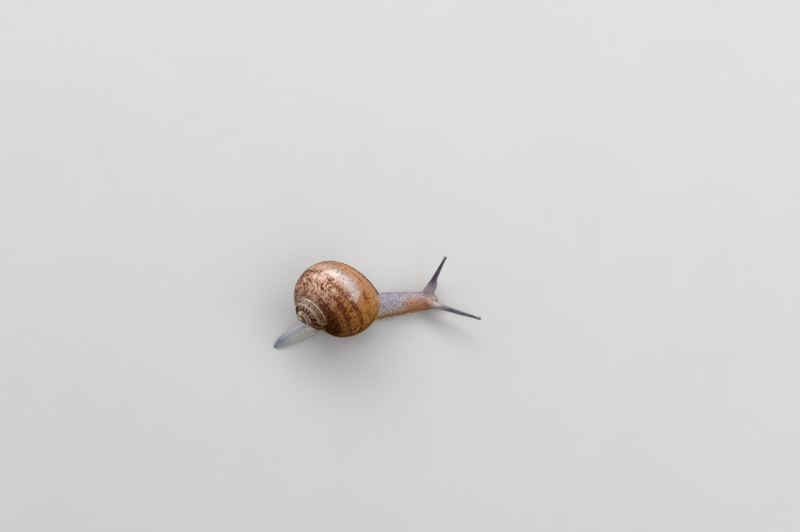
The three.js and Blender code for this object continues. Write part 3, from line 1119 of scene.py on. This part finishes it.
    @staticmethod
    def close_ends(piece: bpy.types.Object, first: Sequence[int], last: Sequence[int]) -> None:
        """Close the tip of the spire and the hidden end of the lining.

        Args:
            piece: The shell.
            first: Numbers of the points round the tip.
            last: Numbers of the points round the lining's end.
        """
        work = bmesh.new()
        work.from_mesh(piece.data)
        work.verts.ensure_lookup_table()
        work.faces.new([work.verts[i] for i in first])
        work.faces.new([work.verts[i] for i in last[::-1]])
        bmesh.ops.remove_doubles(work, verts=[work.verts[i] for i in first], dist=1e-7)
        bmesh.ops.recalc_face_normals(work, faces=work.faces)
        work.to_mesh(piece.data)
        work.free()


# --- Flesh -------------------------------------------------------------------------------------


@dataclass(frozen=True)
class Line:
    """The middle line of the body on the ground, from the tip of the tail to the snout."""

    knots: tuple[tuple[float, float], ...] = (
        (-22.1, -9.7), (-14.7, -4.9), (-7.4, -1.6), (0.5, 1.0), (8.5, 2.75), (16.0, 3.75), (22.0, 4.25),
        (25.6, 4.4),
    )
    spare: float = 4.0
    samples: int = 80

    def trace(self) -> tuple[Array, Array]:
        """Follow the line through its knots, and straight on past both ends.

        Returns:
            Distances from the tip of the tail, and the points at them.
        """
        knots = np.asarray(self.knots)
        padded = np.vstack([2 * knots[0] - knots[1], knots, 2 * knots[-1] - knots[-2]])
        parts = []
        t = np.linspace(0, 1, self.samples, endpoint=False)[:, None]
        for p0, p1, p2, p3 in zip(padded, padded[1:], padded[2:], padded[3:]):
            d0, d1, d2 = (math.sqrt(np.linalg.norm(b - a)) for a, b in ((p0, p1), (p1, p2), (p2, p3)))
            start = ((p1 - p0) / d0 - (p2 - p0) / (d0 + d1) + (p2 - p1) / d1) * d1
            end = ((p2 - p1) / d1 - (p3 - p1) / (d1 + d2) + (p3 - p2) / d2) * d1
            square = -3 * p1 + 3 * p2 - 2 * start - end
            cube = 2 * p1 - 2 * p2 + start + end
            parts.append(p1 + start * t + square * t**2 + cube * t**3)
        points = np.vstack([*parts, knots[-1:]])
        reach = np.concatenate([[0], np.cumsum(np.linalg.norm(np.diff(points, axis=0), axis=1))])
        before = points[0] - unit(points[1] - points[0]) * self.spare
        after = points[-1] + unit(points[-1] - points[-2]) * self.spare
        return (np.concatenate([[-self.spare], reach, [reach[-1] + self.spare]]),
                np.vstack([before, points, after]))

    def locate(self, flat: Array) -> tuple[Array, Array]:
        """Find places on the ground against the line.

        Args:
            flat: Places in plan.

        Returns:
            Distance from the tip of the tail, and distance to the left of the line.
        """
        reach, points = self.trace()
        at = np.interp(flat[:, 0], points[:, 0], reach)
        headings = np.gradient(points, reach, axis=0)
        headings /= np.linalg.norm(headings, axis=1, keepdims=True)
        for _ in range(6):
            here = np.stack([np.interp(at, reach, points[:, axis]) for axis in (0, 1)], -1)
            ahead = np.stack([np.interp(at, reach, headings[:, axis]) for axis in (0, 1)], -1)
            away = flat - here
            at = np.clip(at + (away * ahead).sum(1), reach[0], reach[-1])
        return at, ahead[:, 0] * away[:, 1] - ahead[:, 1] * away[:, 0]


@dataclass(frozen=True)
class Feeler:
    """A tentacle: a bowed cone that ends in a knob."""

    root: tuple[float, float, float]
    tip: tuple[float, float, float]
    bow: tuple[float, float, float]
    radii: tuple[tuple[float, float], ...]
    fillet: float

    def directions(self) -> tuple[Array, Array]:
        """Return the direction from root to tip, and the one straight up from it."""
        ahead = unit(np.subtract(self.tip, self.root))
        return ahead, unit(np.array([0, 0, 1.0]) - ahead * ahead[2])

    def length(self) -> float:
        """Return the straight length from root to tip."""
        return float(np.linalg.norm(np.subtract(self.tip, self.root)))

    def line(self, share: Array) -> Array:
        """Find places on the middle line.

        Args:
            share: Shares of its length.

        Returns:
            The places.
        """
        root, tip = np.asarray(self.root), np.asarray(self.tip)
        middle = 0.5 * (root + tip) + np.asarray(self.bow)
        t = np.asarray(share)[..., None]
        return root * (1 - t) ** 2 + middle * 2 * t * (1 - t) + tip * t * t

    def locate(self, points: Array) -> tuple[Array, Array, Array]:
        """Find places against the tentacle.

        Args:
            points: Places.

        Returns:
            Distance outside its surface, share of its length, and angle round it.
        """
        root, tip = np.asarray(self.root), np.asarray(self.tip)
        chord = tip - root
        size = chord @ chord
        share = np.clip((points - root) @ chord / size, 0, 1)
        for _ in range(3):
            share = np.clip(share + (points - self.line(share)) @ chord / size, 0, 1 - 0.2 / self.length())
        away = points - self.line(share)
        radius = table(self.radii, 1, share)
        heading = unit(chord)
        left = unit(np.cross([0, 0, 1], heading))
        up = np.cross(heading, left)
        return np.linalg.norm(away, axis=1) - radius, share, np.arctan2(away @ up, away @ left)


RAISED_RADII = ((0, 1.7), (0.1, 1.4), (0.2, 1.18), (0.34, 0.9), (0.52, 0.68), (0.74, 0.51), (0.88, 0.41),
                (0.925, 0.41), (0.96, 0.52), (0.985, 0.46), (1, 0.24))
LEVEL_RADII = ((0, 1.4), (0.07, 1.17), (0.16, 0.94), (0.35, 0.73), (0.6, 0.61), (0.85, 0.45), (0.925, 0.43),
               (0.96, 0.54), (0.985, 0.47), (1, 0.24))
SHORT_RADII = ((0, 0.62), (0.3, 0.5), (0.75, 0.42), (0.95, 0.38), (1, 0.2))


@dataclass(frozen=True)
class Flesh:
    """The soft body as one distance field: foot, neck, head, tentacles and the mantle's collar."""

    coil: Coil = field(default_factory=Coil)
    line: Line = field(default_factory=Line)
    sections: tuple[tuple[float, ...], ...] = (
        (0.0, 0.6, 0.45, 0.6, 0), (0.7, 1.2, 0.9, 0.9, 0), (2.5, 1.72, 1.4, 1.25, 0),
        (6.0, 2.05, 1.75, 1.7, 0), (10.0, 2.5, 2.1, 2.2, 0), (14.0, 3.1, 2.6, 3.2, 0),
        (19.0, 3.7, 3.3, 6.5, 0), (25.0, 4.1, 3.7, 9.0, 0), (29.5, 4.4, 3.85, 7.4, 0),
        (33.0, 4.4, 3.75, 5.4, 0), (38.0, 4.05, 3.45, 4.8, 0), (43.0, 3.35, 2.95, 4.5, 0),
        (46.0, 2.65, 2.75, 4.6, 0.15), (48.2, 1.9, 2.55, 4.5, 0.6), (49.6, 1.3, 2.0, 4.0, 0.95),
        (50.4, 0.7, 1.1, 3.3, 1.3), (50.9, 0.1, 0.15, 2.3, 1.9),
    )
    sole_edge: float = 0.62
    edge_middle: float = 0.35
    edge_flat: float = 0.12
    back_seat: float = 0.8
    feelers: dict[str, Feeler] = field(default_factory=lambda: {
        "upper_left": Feeler((23.0, 6.0, 3.7), (28.1, 13.7, 12.9), (0, 0.3, 0.5), RAISED_RADII, 0.7),
        "upper_right": Feeler((23.8, 2.5, 3.6), (38.3, -3.4, 7.1), (0, -0.35, 0.6), LEVEL_RADII, 0.7),
        "lower_left": Feeler((24.1, 6.0, 1.8), (25.5, 10.3, 1.3), (0.25, 0, 0.1), SHORT_RADII, 0.4),
        "lower_right": Feeler((24.4, 3.4, 1.9), (27.4, 2.2, 1.1), (0.1, -0.2, 0.1), SHORT_RADII, 0.4),
    })
    lobe_reach: tuple[float, float, float] = (1.19, 0.95, 0.95)
    lobe_centre: tuple[float, float, float] = (24.7, 4.4, 1.15)
    lobe_side: float = 0.85
    mouth_centre: tuple[float, float, float] = (25.95, 4.4, 1.55)
    mouth_reach: tuple[float, float, float] = (0.75, 0.22, 0.5)
    plug_back: float = 0.46
    plug_front: float = 0.045
    plug_dish: float = 0.11
    plug_fillet: float = 0.7
    collar_fillet: float = 0.8
    shell_gap: float = 0.14
    eye_radius: float = 0.21
    eye_seat: float = 0.37
    eye_gap: float = 0.015
    back_power: float = 2.3
    head_from: float = 21.5
    shell_to: float = 12.0

    def eye_centre(self, name: str) -> Array:
        """Find the middle of an eye.

        Args:
            name: Which upper tentacle carries it.

        Returns:
            The place.
        """
        feeler = self.feelers[name]
        ahead, up = feeler.directions()
        return np.asarray(feeler.tip) - ahead * self.eye_radius + up * self.eye_seat

    @staticmethod
    def ellipsoid(points: Array, centre: Sequence[float], reach: Sequence[float]) -> Array:
        """Measure the distance outside an ellipsoid, near enough for a smooth surface.

        Args:
            points: Places.
            centre: Its middle.
            reach: Its half size along each axis.

        Returns:
            A distance for each place.
        """
        away = points - np.asarray(centre)
        share = np.linalg.norm(away / np.asarray(reach), axis=1)
        return np.linalg.norm(away, axis=1) * (1 - 1 / np.maximum(share, 1e-6))

    def trunk(self, points: Array) -> Array:
        """Measure the distance outside the foot, neck and head, without lips or tentacles.

        Args:
            points: Places.

        Returns:
            A distance for each.
        """
        at, side = self.line.locate(points[:, :2])
        sole, back, top, lift = (table(self.sections, column, at) for column in (1, 2, 3, 4))
        lift = np.maximum(lift, 0)
        edge = np.minimum(self.sole_edge, 0.5 * (top - lift))
        end = np.maximum(np.maximum(-at, at - self.sections[-1][0]), 0)
        rise = points[:, 2] - lift
        seat = self.back_seat * edge
        wide = np.abs(side) / back
        high = (rise - seat) / np.maximum(top - lift - seat, 0.05)
        high = np.where(high < 0, high * 0.5, high)
        power = self.back_power
        share = np.maximum((wide**power + np.abs(high) ** power) ** (1 / power), 1e-6)
        hump = np.hypot(side, rise - seat) * (1 - 1 / share)
        hump = np.maximum(hump, -np.minimum(back, top - lift))
        over = np.maximum(np.abs(side) - (sole - 0.5 * edge), 0)
        off = np.abs(rise - self.edge_middle * edge) - self.edge_flat * edge
        slab = np.maximum(np.hypot(over, np.maximum(off, 0)) - 0.5 * edge, off - 0.5 * edge)
        joined = soft_min(hump, slab, 0.3)
        return np.hypot(np.maximum(joined, 0), end) + np.minimum(joined, 0)

    def collar(self, points: Array) -> tuple[Array, Array]:
        """Measure the distances outside the mantle's collar and outside the shell.

        Args:
            points: Places.

        Returns:
            Distances to the collar, which plugs the mouth, and to the shell round it.
        """
        past, wall = self.coil.past_lip, self.coil.wall
        angle, radius, height = self.coil.locate(points)
        beyond = np.where(angle > past, FAR, 0)
        angle = np.where(angle > past, angle - TURN, angle)
        newest, _, line = self.coil.relative(angle, radius, height)
        size = radius + 1.0
        back = -self.plug_back - line
        front = (line + self.plug_front + self.plug_dish * ease(0.0, 2.2, -(newest + wall))) * size
        plug = soft_max(soft_max(newest + wall + 0.1, front, self.plug_fillet), back * size, 0.3) + beyond
        room = np.maximum(newest + wall - 0.15, np.maximum(back, line - past) * size) + beyond
        shell = np.maximum(np.maximum(newest, line * size), -room)
        for turn in (1, 2, 3):
            older, _, _ = self.coil.relative(angle - turn * TURN, radius, height)
            shell = np.minimum(shell, older)
        return plug, shell

    def level(self, points: Array) -> Array:
        """Return the distance outside the whole soft body.

        Args:
            points: Places.

        Returns:
            A distance for each, below zero inside.
        """
        body = self.trunk(points)
        near_head = points[:, 0] > self.head_from
        ahead = points[near_head]
        head = body[near_head]
        for hand in (-1, 1):
            centre = (self.lobe_centre[0], self.lobe_centre[1] + hand * self.lobe_side, self.lobe_centre[2])
            head = soft_min(head, self.ellipsoid(ahead, centre, self.lobe_reach), 0.35)
        head = soft_max(head, -self.ellipsoid(ahead, self.mouth_centre, self.mouth_reach), 0.15)
        for feeler in self.feelers.values():
            distance, _, _ = feeler.locate(ahead)
            head = soft_min(head, distance, feeler.fillet)
        for name in ("upper_left", "upper_right"):
            bead = np.linalg.norm(ahead - self.eye_centre(name), axis=1) - self.eye_radius - self.eye_gap
            head = soft_max(head, -bead, 0.06)
        body[near_head] = head
        behind = points[:, 0] < self.shell_to
        plug, walls = self.collar(points[behind])
        whole = soft_min(body[behind], plug, self.collar_fillet)
        body[behind] = soft_max(whole, self.shell_gap - walls, 0.2)
        return np.maximum(body, -points[:, 2])


@dataclass(frozen=True)
class SkinFinish:
    """Moist skin: lavender-grey on the back, peach on the sides of the neck, pale at the foot."""

    lavender: Colour = rgb(204, 200, 214)
    slate: Colour = rgb(168, 160, 178)
    cream: Colour = rgb(250, 228, 198)
    peach: Colour = rgb(242, 164, 100)
    rust: Colour = rgb(168, 84, 46)
    tawny: Colour = rgb(196, 142, 84)
    # Pale pink used only as painted light on the middle height of the neck
    blush: Colour = rgb(246, 228, 228)
    milk: Colour = rgb(255, 250, 236)
    mist: Colour = rgb(222, 222, 232)
    steel: Colour = rgb(124, 134, 154)
    pearl: Colour = rgb(160, 154, 164)
    smoke: Colour = rgb(120, 104, 124)
    shade: Colour = rgb(88, 74, 88)
    yolk: Colour = rgb(170, 154, 104)
    roughness: float = 0.32
    back_part: tuple[float, float] = (2.6, 5.2)
    tail_part: tuple[float, float] = (17.0, 12.0)
    knob_part: tuple[float, float] = (0.915, 0.95)

    def build(self) -> bpy.types.Material:
        """Build the material.

        Returns:
            The skin's material.
        """
        material, graph, shader = new_material("skin_moist")
        body = graph.place("body")
        along, side, height, feeler = (graph.read(name) for name in ("along", "side", "height", "feeler"))
        relief = graph.read("relief")
        back = Effects.mottle(graph, body, 0.9, 2.2, self.lavender, self.slate)
        warm = Effects.mottle(graph, body, 0.8, 1.8, self.cream, self.peach)
        rise = height + (graph.noise(body, 0.5, 3) - 0.5) * 1.6 + side.span(0.2, 1.6, 0, 1.8)
        colour = graph.mix(rise.span(*self.back_part), warm, back)
        colour = graph.mix(side.span(-0.6, -1.8) * rise.span(3.0, 1.4, 0, 0.9), colour, self.tawny)
        blush = along.span(38.5, 43.5) * along.span(50.5, 47.5) * side.span(0.2, -1.4, 0.25, 0.8)
        colour = graph.mix(blush, colour, self.peach)
        threads = graph.noise(graph.place("body", (0.5, 1.6, 1.2)), 1.5, 4, 0.6, 0.5).span(0.52, 0.6)
        colour = graph.mix(blush * (threads * 0.6), colour, self.rust)

        tail = Effects.mottle(graph, body, 0.7, 1.6, self.mist, self.lavender)
        tail = graph.mix(along.span(8.0, 1.0, 0, 0.95), tail, self.steel)
        # The tail's right side turns milky: partly its own pale colour, partly painted light that lifts the
        # shade on that side
        tail = graph.mix(side.span(0.4, -1.6) * along.span(2, 7, 0.4, 0.95), tail, self.milk)
        colour = graph.mix(along.span(*self.tail_part), colour, tail)
        colour = graph.mix(graph.read("fringe") * 0.85, colour, self.milk)
        colour = graph.mix(along.span(48.6, 50.4, 0, 0.4), colour, self.cream)

        # Painted light: lighten the middle height of the neck towards blush
        middle = rise.span(2.2, 3.2) * rise.span(5.2, 4.0, 0, 0.45)
        colour = graph.mix(middle * along.span(42, 38), colour, self.blush)
        freckle = graph.noise(body, 1.7, 2, 0.5, 0.4).span(0.58, 0.64) * rise.span(4.0, 5.0)
        freckle = freckle * along.span(33.0, 40.0, 0.1, 0.6) * feeler.span(0.06, 0.01)
        colour = graph.mix(freckle, colour, self.shade)
        # Painted shade in the grooves between the warts, and painted light on the warts' tops
        colour = graph.mix(relief.span(0.55, 0.05) * 0.58, colour, self.shade)
        colour = graph.mix(relief.span(0.6, 1.0) * 0.2, colour, self.cream)

        core = Effects.mottle(graph, body, 1.4, 1.8, self.lavender, self.smoke)
        colour = graph.mix(feeler.span(0.05, 0.3, 0, 0.9), colour, core)
        vein = graph.read("vein") * graph.noise(body, 1.6, 3).span(0.3, 0.6, 0.7, 1)
        colour = graph.mix(vein * feeler.span(0.1, 0.4), colour, self.shade)
        colour = graph.mix(feeler.span(*self.knob_part), colour, self.pearl)
        lip = Effects.mottle(graph, body, 0.8, 2.0, self.cream, self.yolk)
        pores, folds = graph.noise(body, 5.5, 4, 0.6), graph.cells(body, 3.4)
        bumps = {"Height": pores + folds * -0.5, "Strength": 0.45, "Distance": 0.08 * MM}
        graph.fill(shader, {
            "Base Color": graph.mix(graph.read("collar"), colour, lip),
            "Roughness": Effects.moisture(graph, body, 0.8, self.roughness - 0.1, self.roughness + 0.12)[0],
            "Normal": graph.take("Bump", 0, bumps),
            "Specular IOR Level": 0.3,
            "Coat Weight": 0.2,
            "Coat Roughness": 0.2,
            "Subsurface Weight": 0.4,
            "Subsurface Radius": (1.0, 0.75, 0.65),
            "Subsurface Scale": 0.9 * MM,
        })
        return material


@dataclass
class Skin:
    """One skin over all the flesh, with its warts, grooves and foot fringe."""

    flesh: Flesh = field(default_factory=Flesh)
    finish: SkinFinish = field(default_factory=SkinFinish)
    step: float = 0.1
    rough_factor: int = 4
    margin: float = 0.6
    batch: int = 400000
    low: tuple[float, float, float] = (-23.0, -10.9, -0.2)
    high: tuple[float, float, float] = (39.0, 14.8, 13.8)
    relax_rounds: int = 3
    relax_strength: float = 0.5
    sole_height: float = 0.08
    feeler_margin: float = 0.3
    head_part: tuple[float, float] = (43.0, 47.5)
    tail_part: tuple[float, float] = (15.0, 9.0)
    feeler_part: tuple[float, float] = (0.04, 0.12)
    knob_part: tuple[float, float] = (0.9, 0.95)
    wart_long: float = 0.78
    wart_wide: float = 0.54
    feeler_wart_long: float = 0.42
    feeler_wart_rows: float = 2.2
    wart_edge: tuple[float, float] = (0.03, 0.3)
    wart_height: float = 0.12
    wart_base: float = 0.65
    swell_height: float = 0.05
    seed: int = 21

    def sample(self) -> Surface:
        """Sample the flesh finely near its surface and lay a net over it.

        Returns:
            The smooth body.
        """
        step, factor = self.step, self.rough_factor
        origin = np.array([self.low[0], self.low[1], -2 * step])
        counts = np.ceil((np.asarray(self.high) - origin) / (step * factor)).astype(int) + 1
        rough_axes = [first + step * factor * (np.arange(count) + 0.5) - step / 2
                      for first, count in zip(origin, counts)]
        places = np.stack(np.meshgrid(*rough_axes, indexing="ij"), -1).reshape(-1, 3)
        rough = self.flesh.level(places).reshape(counts)
        level = enlarge(np.where(rough < 0, -1.0, 1.0), factor)
        near = np.argwhere(enlarge(np.abs(rough) < self.margin + step * factor, factor))
        parts = np.array_split(near, len(near) // self.batch + 1)
        level[tuple(near.T)] = np.concatenate([self.flesh.level(origin + step * part) for part in parts])
        return net_over(level, origin, step)

    def keep_largest(self, surface: Surface) -> Surface:
        """Drop loose crumbs, keeping the body itself.

        Args:
            surface: The net as sampled.

        Returns:
            The largest connected part.
        """
        label = np.arange(len(surface.points))
        while True:
            lowest = label[surface.faces].min(1)
            fresh = label.copy()
            np.minimum.at(fresh, surface.faces.ravel(), np.repeat(lowest, 4))
            fresh = fresh[fresh]
            if np.array_equal(fresh, label):
                break
            label = fresh
        kept = label == np.bincount(label).argmax()
        number = np.cumsum(kept) - 1
        return Surface(surface.points[kept], number[surface.faces[kept[surface.faces[:, 0]]]])

    def describe(self, surface: Surface) -> dict[str, Array]:
        """Work out where each point is on the animal.

        Args:
            surface: The smooth body.

        Returns:
            Named values for the warts and the finish.
        """
        points = surface.points
        at, side = self.flesh.line.locate(points[:, :2])
        nearest = np.full(len(points), FAR)
        share, around, run = np.zeros((3, len(points)))
        trunk = self.flesh.trunk(points)
        for name, feeler in self.flesh.feelers.items():
            distance, part, angle = feeler.locate(points)
            closer = (distance < nearest) & (distance < trunk + self.feeler_margin)
            nearest = np.where(closer, distance, nearest)
            share = np.where(closer, part if "upper" in name else part * 0.8, share)
            around = np.where(closer, angle, around)
            run = np.where(closer, part * feeler.length(), run)
        plug, _ = self.flesh.collar(points)
        top = table(self.flesh.sections, 3, at)
        girth = np.arctan2(points[:, 2] - 0.5, side) * 0.5 * (np.maximum(top, 1) + 3)
        return {"at": at, "side": side, "share": share, "around": around, "run": run, "girth": girth,
                "plug": plug, "trunk": trunk, "nearest": nearest}

    def warts(self, surface: Surface, info: dict[str, Array]) -> tuple[Array, Array]:
        """Raise the warts of the skin.

        Args:
            surface: The smooth body.
            info: What describe gave.

        Returns:
            Heights in millimetres, and the relief from 0 in the grooves to 1 on the warts.
        """
        points = surface.points
        grain = Grain(self.seed)
        at, girth = info["at"], info["girth"]
        head, tail = ease(*self.head_part, at), ease(*self.tail_part, at)
        warp = 0.35 * np.stack([grain.rolling(points * 0.7), grain.rolling(points * 0.7 + 31)], -1)
        slant = np.sign(info["side"]) * np.minimum(np.abs(girth - math.pi / 2), 3.0)
        flat = np.stack([(at + 0.3 * slant) / self.wart_long, girth / self.wart_wide], -1)
        small = 1 - 0.38 * head - 0.3 * tail
        body_warts = ease(*self.wart_edge, grain.pebbles(flat / small[:, None] + warp, 0.85))
        on_feeler = ease(*self.feeler_part, info["share"])
        run, around = info["run"] / self.feeler_wart_long, info["around"] * self.feeler_wart_rows
        feeler_warts = ease(*self.wart_edge, grain.pebbles(np.stack([run, around], -1) + warp, 0.9))
        relief = body_warts * (1 - on_feeler) + feeler_warts * on_feeler

        size = (1 - 0.35 * head - 0.55 * tail) * (1 - on_feeler)
        size = size + on_feeler * (0.35 - 0.2 * ease(0.2, 0.8, info["share"]))
        size = size * (1 - ease(*self.knob_part, info["share"])) * ease(0.35, 0.8, points[:, 2])
        by_shell = ease(0.3, 0.0, info["plug"] - info["trunk"]) * ease(0.5, 0.1, np.abs(info["plug"]))
        size = size * (1 - 0.85 * by_shell)
        height = self.wart_height * size * (relief - self.wart_base)
        broad = self.swell_height * grain.layered(points * 0.55 + 7, 2) * ease(0.3, 1.2, points[:, 2])
        clear = np.minimum(size * 1.6, 1)
        return height + broad * (1 - on_feeler), relief * clear + 0.5 * (1 - clear)

    def build(self) -> bpy.types.Object:
        """Build the skin and dress it.

        Returns:
            The skin's object.
        """
        surface = self.keep_largest(self.sample())
        surface.relax(self.relax_rounds, self.relax_strength)
        info = self.describe(surface)
        lift, relief = self.warts(surface, info)
        sole = surface.points[:, 2] < self.sole_height
        lift = np.where(sole, 0, lift)
        surface.points += surface.normals() * lift[:, None]
        surface.points[:, 2] = np.where(sole, 0, np.maximum(surface.points[:, 2], 0))
        points = surface.points
        aside = np.abs(info["side"]) / np.maximum(table(self.flesh.sections, 1, info["at"]), 0.3)
        surface.values = {
            "along": info["at"],
            "side": info["side"],
            "height": points[:, 2],
            "feeler": info["share"] * ease(0.3, 0.0, info["nearest"] - 0.1),
            "relief": relief,
            "vein": ease(0.3, 0.9, np.abs(np.sin(info["around"]))),
            "fringe": ease(0.75, 0.35, points[:, 2]) * ease(0.6, 0.9, aside),
            "collar": ease(0.35, 0.1, info["plug"]) * ease(-0.1, 0.3, info["trunk"]),
            "body": points.copy(),
        }
        piece = surface.piece("skin_body", self.finish.build())
        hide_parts("tail", "foot", "neck", "head", "mantle", "tentacle_upper_left",
                    "tentacle_upper_right", "tentacle_lower_left", "tentacle_lower_right")
        return piece


# --- Eyes --------------------------------------------------------------------------------------


@dataclass(frozen=True)
class EyeFinish:
    """A wet black bead, brown-violet at its edge."""

    pupil: Colour = rgb(14, 10, 12)
    edge: Colour = rgb(52, 38, 44)

    def build(self) -> bpy.types.Material:
        """Build the material.

        Returns:
            The eyes' material.
        """
        material, graph, shader = new_material("eye_bead")
        place = graph.place("eye")
        colour = Effects.mottle(graph, place, 6.0, 2.0, self.pupil, self.edge)
        rim = graph.read("lens").span(0.35, 0.0)
        graph.fill(shader, {
            "Base Color": graph.mix(rim * 0.6, colour, self.edge),
            "Roughness": Effects.moisture(graph, place, 4.0, 0.06, 0.14)[0],
            "Coat Weight": 0.6,
        })
        return material


@dataclass
class Eyes:
    """The two beads on the knobs of the upper tentacles, each with a low lens."""

    flesh: Flesh = field(default_factory=Flesh)
    finish: EyeFinish = field(default_factory=EyeFinish)
    rows: int = 28
    sides: int = 40
    lens_height: float = 0.02
    lens_part: tuple[float, float] = (0.9, 0.2)
    lens_tilt: float = 0.6

    def bead(self, name: str, material: bpy.types.Material) -> bpy.types.Object:
        """Build one eye.

        Args:
            name: Which upper tentacle carries it.
            material: Its finish.

        Returns:
            The eye's object.
        """
        ahead, up = self.flesh.feelers[name].directions()
        facing = unit(up + self.lens_tilt * ahead)
        beside = unit(np.cross(facing, ahead))
        over = np.cross(beside, facing)
        turn = np.linspace(0, math.pi, self.rows + 1)[1:-1]
        around = np.linspace(0, TURN, self.sides, endpoint=False)
        turn_grid, around_grid = (grid[..., None] for grid in np.meshgrid(turn, around, indexing="ij"))
        lens = ease(*self.lens_part, turn_grid)
        reach = self.flesh.eye_radius - self.lens_height
        flat = np.cos(around_grid) * beside + np.sin(around_grid) * over
        ring = (reach + self.lens_height * lens) * (np.sin(turn_grid) * flat + np.cos(turn_grid) * facing)
        points = np.vstack([ring.reshape(-1, 3), facing * (reach + self.lens_height), -facing * reach])

        quads = tube_faces(len(turn), self.sides)
        first = np.arange(self.sides)
        last = first + (len(turn) - 1) * self.sides
        top, bottom = np.full(self.sides, len(points) - 2), np.full(self.sides, len(points) - 1)
        upper = np.stack([top, first, np.roll(first, -1)], -1)
        lower = np.stack([bottom, np.roll(last, -1), last], -1)
        faces = np.concatenate([quads[:, [0, 1, 2]], quads[:, [0, 2, 3]], upper, lower])
        values = {"lens": np.concatenate([lens.ravel(), [1, 0]]), "eye": points.copy()}
        surface = Surface(points + self.flesh.eye_centre(name), faces, values)
        piece = surface.piece(name.replace("upper", "eye_bead"), material)
        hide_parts(name.replace("upper", "eye"))
        return piece

    def build(self) -> list[bpy.types.Object]:
        """Build both eyes."""
        material = self.finish.build()
        return [self.bead(name, material) for name in ("upper_left", "upper_right")]


# --- Studio ------------------------------------------------------------------------------------


class Light(Enum):
    """The soft lights: place, aim, size across and along in metres, power in watts, and if it glints."""

    BACK = ((-0.17, 0.48, 0.36), (-0.005, 0.0, 0.012), 0.6, 0.3, 3.9, True)
    KEY = ((0.25, 0.28, 0.47), (-0.005, 0.0, 0.012), 0.6, 0.34, 3.6, True)
    RIGHT = ((0.45, -0.1, 0.38), (-0.005, 0.0, 0.012), 0.36, 0.3, 1.5, True)
    LEFT = ((-0.5, 0.02, 0.4), (0.0, 0.0, 0.008), 0.4, 0.4, 2.4, False)
    FRONT = ((0.2, -0.45, 0.45), (0.015, 0.0, 0.005), 0.5, 0.5, 2.2, False)


@dataclass(frozen=True)
class FloorFinish:
    """Matt, almost white studio board."""

    light: Colour = rgb(224, 221, 216)
    dark: Colour = rgb(216, 213, 208)

    def build(self) -> bpy.types.Material:
        """Build the material.

        Returns:
            The floor's material.
        """
        material, graph, shader = new_material("studio_board")
        place = graph.take("TexCoord", "Object", {})
        colour = Effects.mottle(graph, place, 30.0, 1.0, self.light, self.dark)
        graph.fill(shader, {"Base Color": colour, "Roughness": 0.85})
        return material


@dataclass
class Studio:
    """Camera, floor and soft lights."""

    aim: tuple[float, float, float] = (14.7, 12.37, 9.0)
    elevation: float = 70.0
    distance: float = 892.0
    frame_width: float = 235.3
    sensor: float = 36.0
    floor_reach: float = 4.0
    daylight: Colour = (0.94, 0.96, 1.0)
    world_colour: Colour = (0.9, 0.9, 0.9)
    world_strength: float = 0.2

    def camera(self) -> None:
        """Place the camera, looking along +Y and down."""
        rise = math.radians(self.elevation)
        data = bpy.data.cameras.new("camera")
        data.sensor_width = self.sensor
        data.lens = self.sensor * self.distance / self.frame_width
        data.clip_start = 0.01
        data.clip_end = 50.0
        made = bpy.data.objects.new("camera", data)
        away = Vector((0, -math.cos(rise), math.sin(rise))) * self.distance * MM
        made.location = Vector(self.aim) * MM + away
        made.rotation_euler = (math.radians(90) - rise, 0, 0)
        bpy.context.scene.collection.objects.link(made)
        bpy.context.scene.camera = made

    def floor(self) -> None:
        """Lay the floor."""
        mesh = bpy.data.meshes.new("studio_floor")
        reach = self.floor_reach
        corners = [(-reach, -reach, 0), (reach, -reach, 0), (reach, reach, 0), (-reach, reach, 0)]
        mesh.from_pydata(corners, [], [(0, 1, 2, 3)])
        mesh.materials.append(FloorFinish().build())
        made = bpy.data.objects.new("studio_floor", mesh)
        bpy.context.scene.collection.objects.link(made)
        made.visible_glossy = False

    def lights(self) -> None:
        """Hang the lights and set the even light of the room."""
        for light in Light:
            place, aim, wide, long, power, glints = light.value
            data = bpy.data.lights.new(light.name.lower(), "AREA")
            data.shape = "RECTANGLE"
            data.size, data.size_y, data.energy = wide, long, power
            data.color = self.daylight
            made = bpy.data.objects.new(light.name.lower(), data)
            towards = (Vector(aim) - Vector(place)).normalized()
            turned = towards.to_track_quat("-Z", "Y").to_matrix().to_4x4()
            made.matrix_world = Matrix.Translation(place) @ turned
            made.visible_camera = False
            made.visible_glossy = glints
            bpy.context.scene.collection.objects.link(made)
        world = bpy.data.worlds.new("room")
        world.use_nodes = True
        background = world.node_tree.nodes["Background"]
        background.inputs["Color"].default_value = (*self.world_colour, 1)
        background.inputs["Strength"].default_value = self.world_strength
        world.cycles_visibility.glossy = False
        bpy.context.scene.world = world
        bpy.context.scene.view_settings.view_transform = "Standard"

    def build(self) -> None:
        """Build the studio."""
        self.camera()
        self.floor()
        self.lights()


# --- The model ---------------------------------------------------------------------------------


def report(piece: bpy.types.Object) -> None:
    """Let a piece ride with the model and log its size.

    Args:
        piece: The piece.
    """
    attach(piece, "root")
    size = " x ".join(f"{side / MM:.1f}" for side in piece.dimensions)
    LOG.info("%s: %d faces, %s mm", piece.name, len(piece.data.polygons), size)


def main() -> None:
    """Build the snail and its studio."""
    logging.basicConfig(level=logging.INFO, format="%(message)s")
    Studio().build()
    report(Shell().build())
    report(Skin().build())
    for eye in Eyes().build():
        report(eye)


if __name__ == "__main__":
    main()
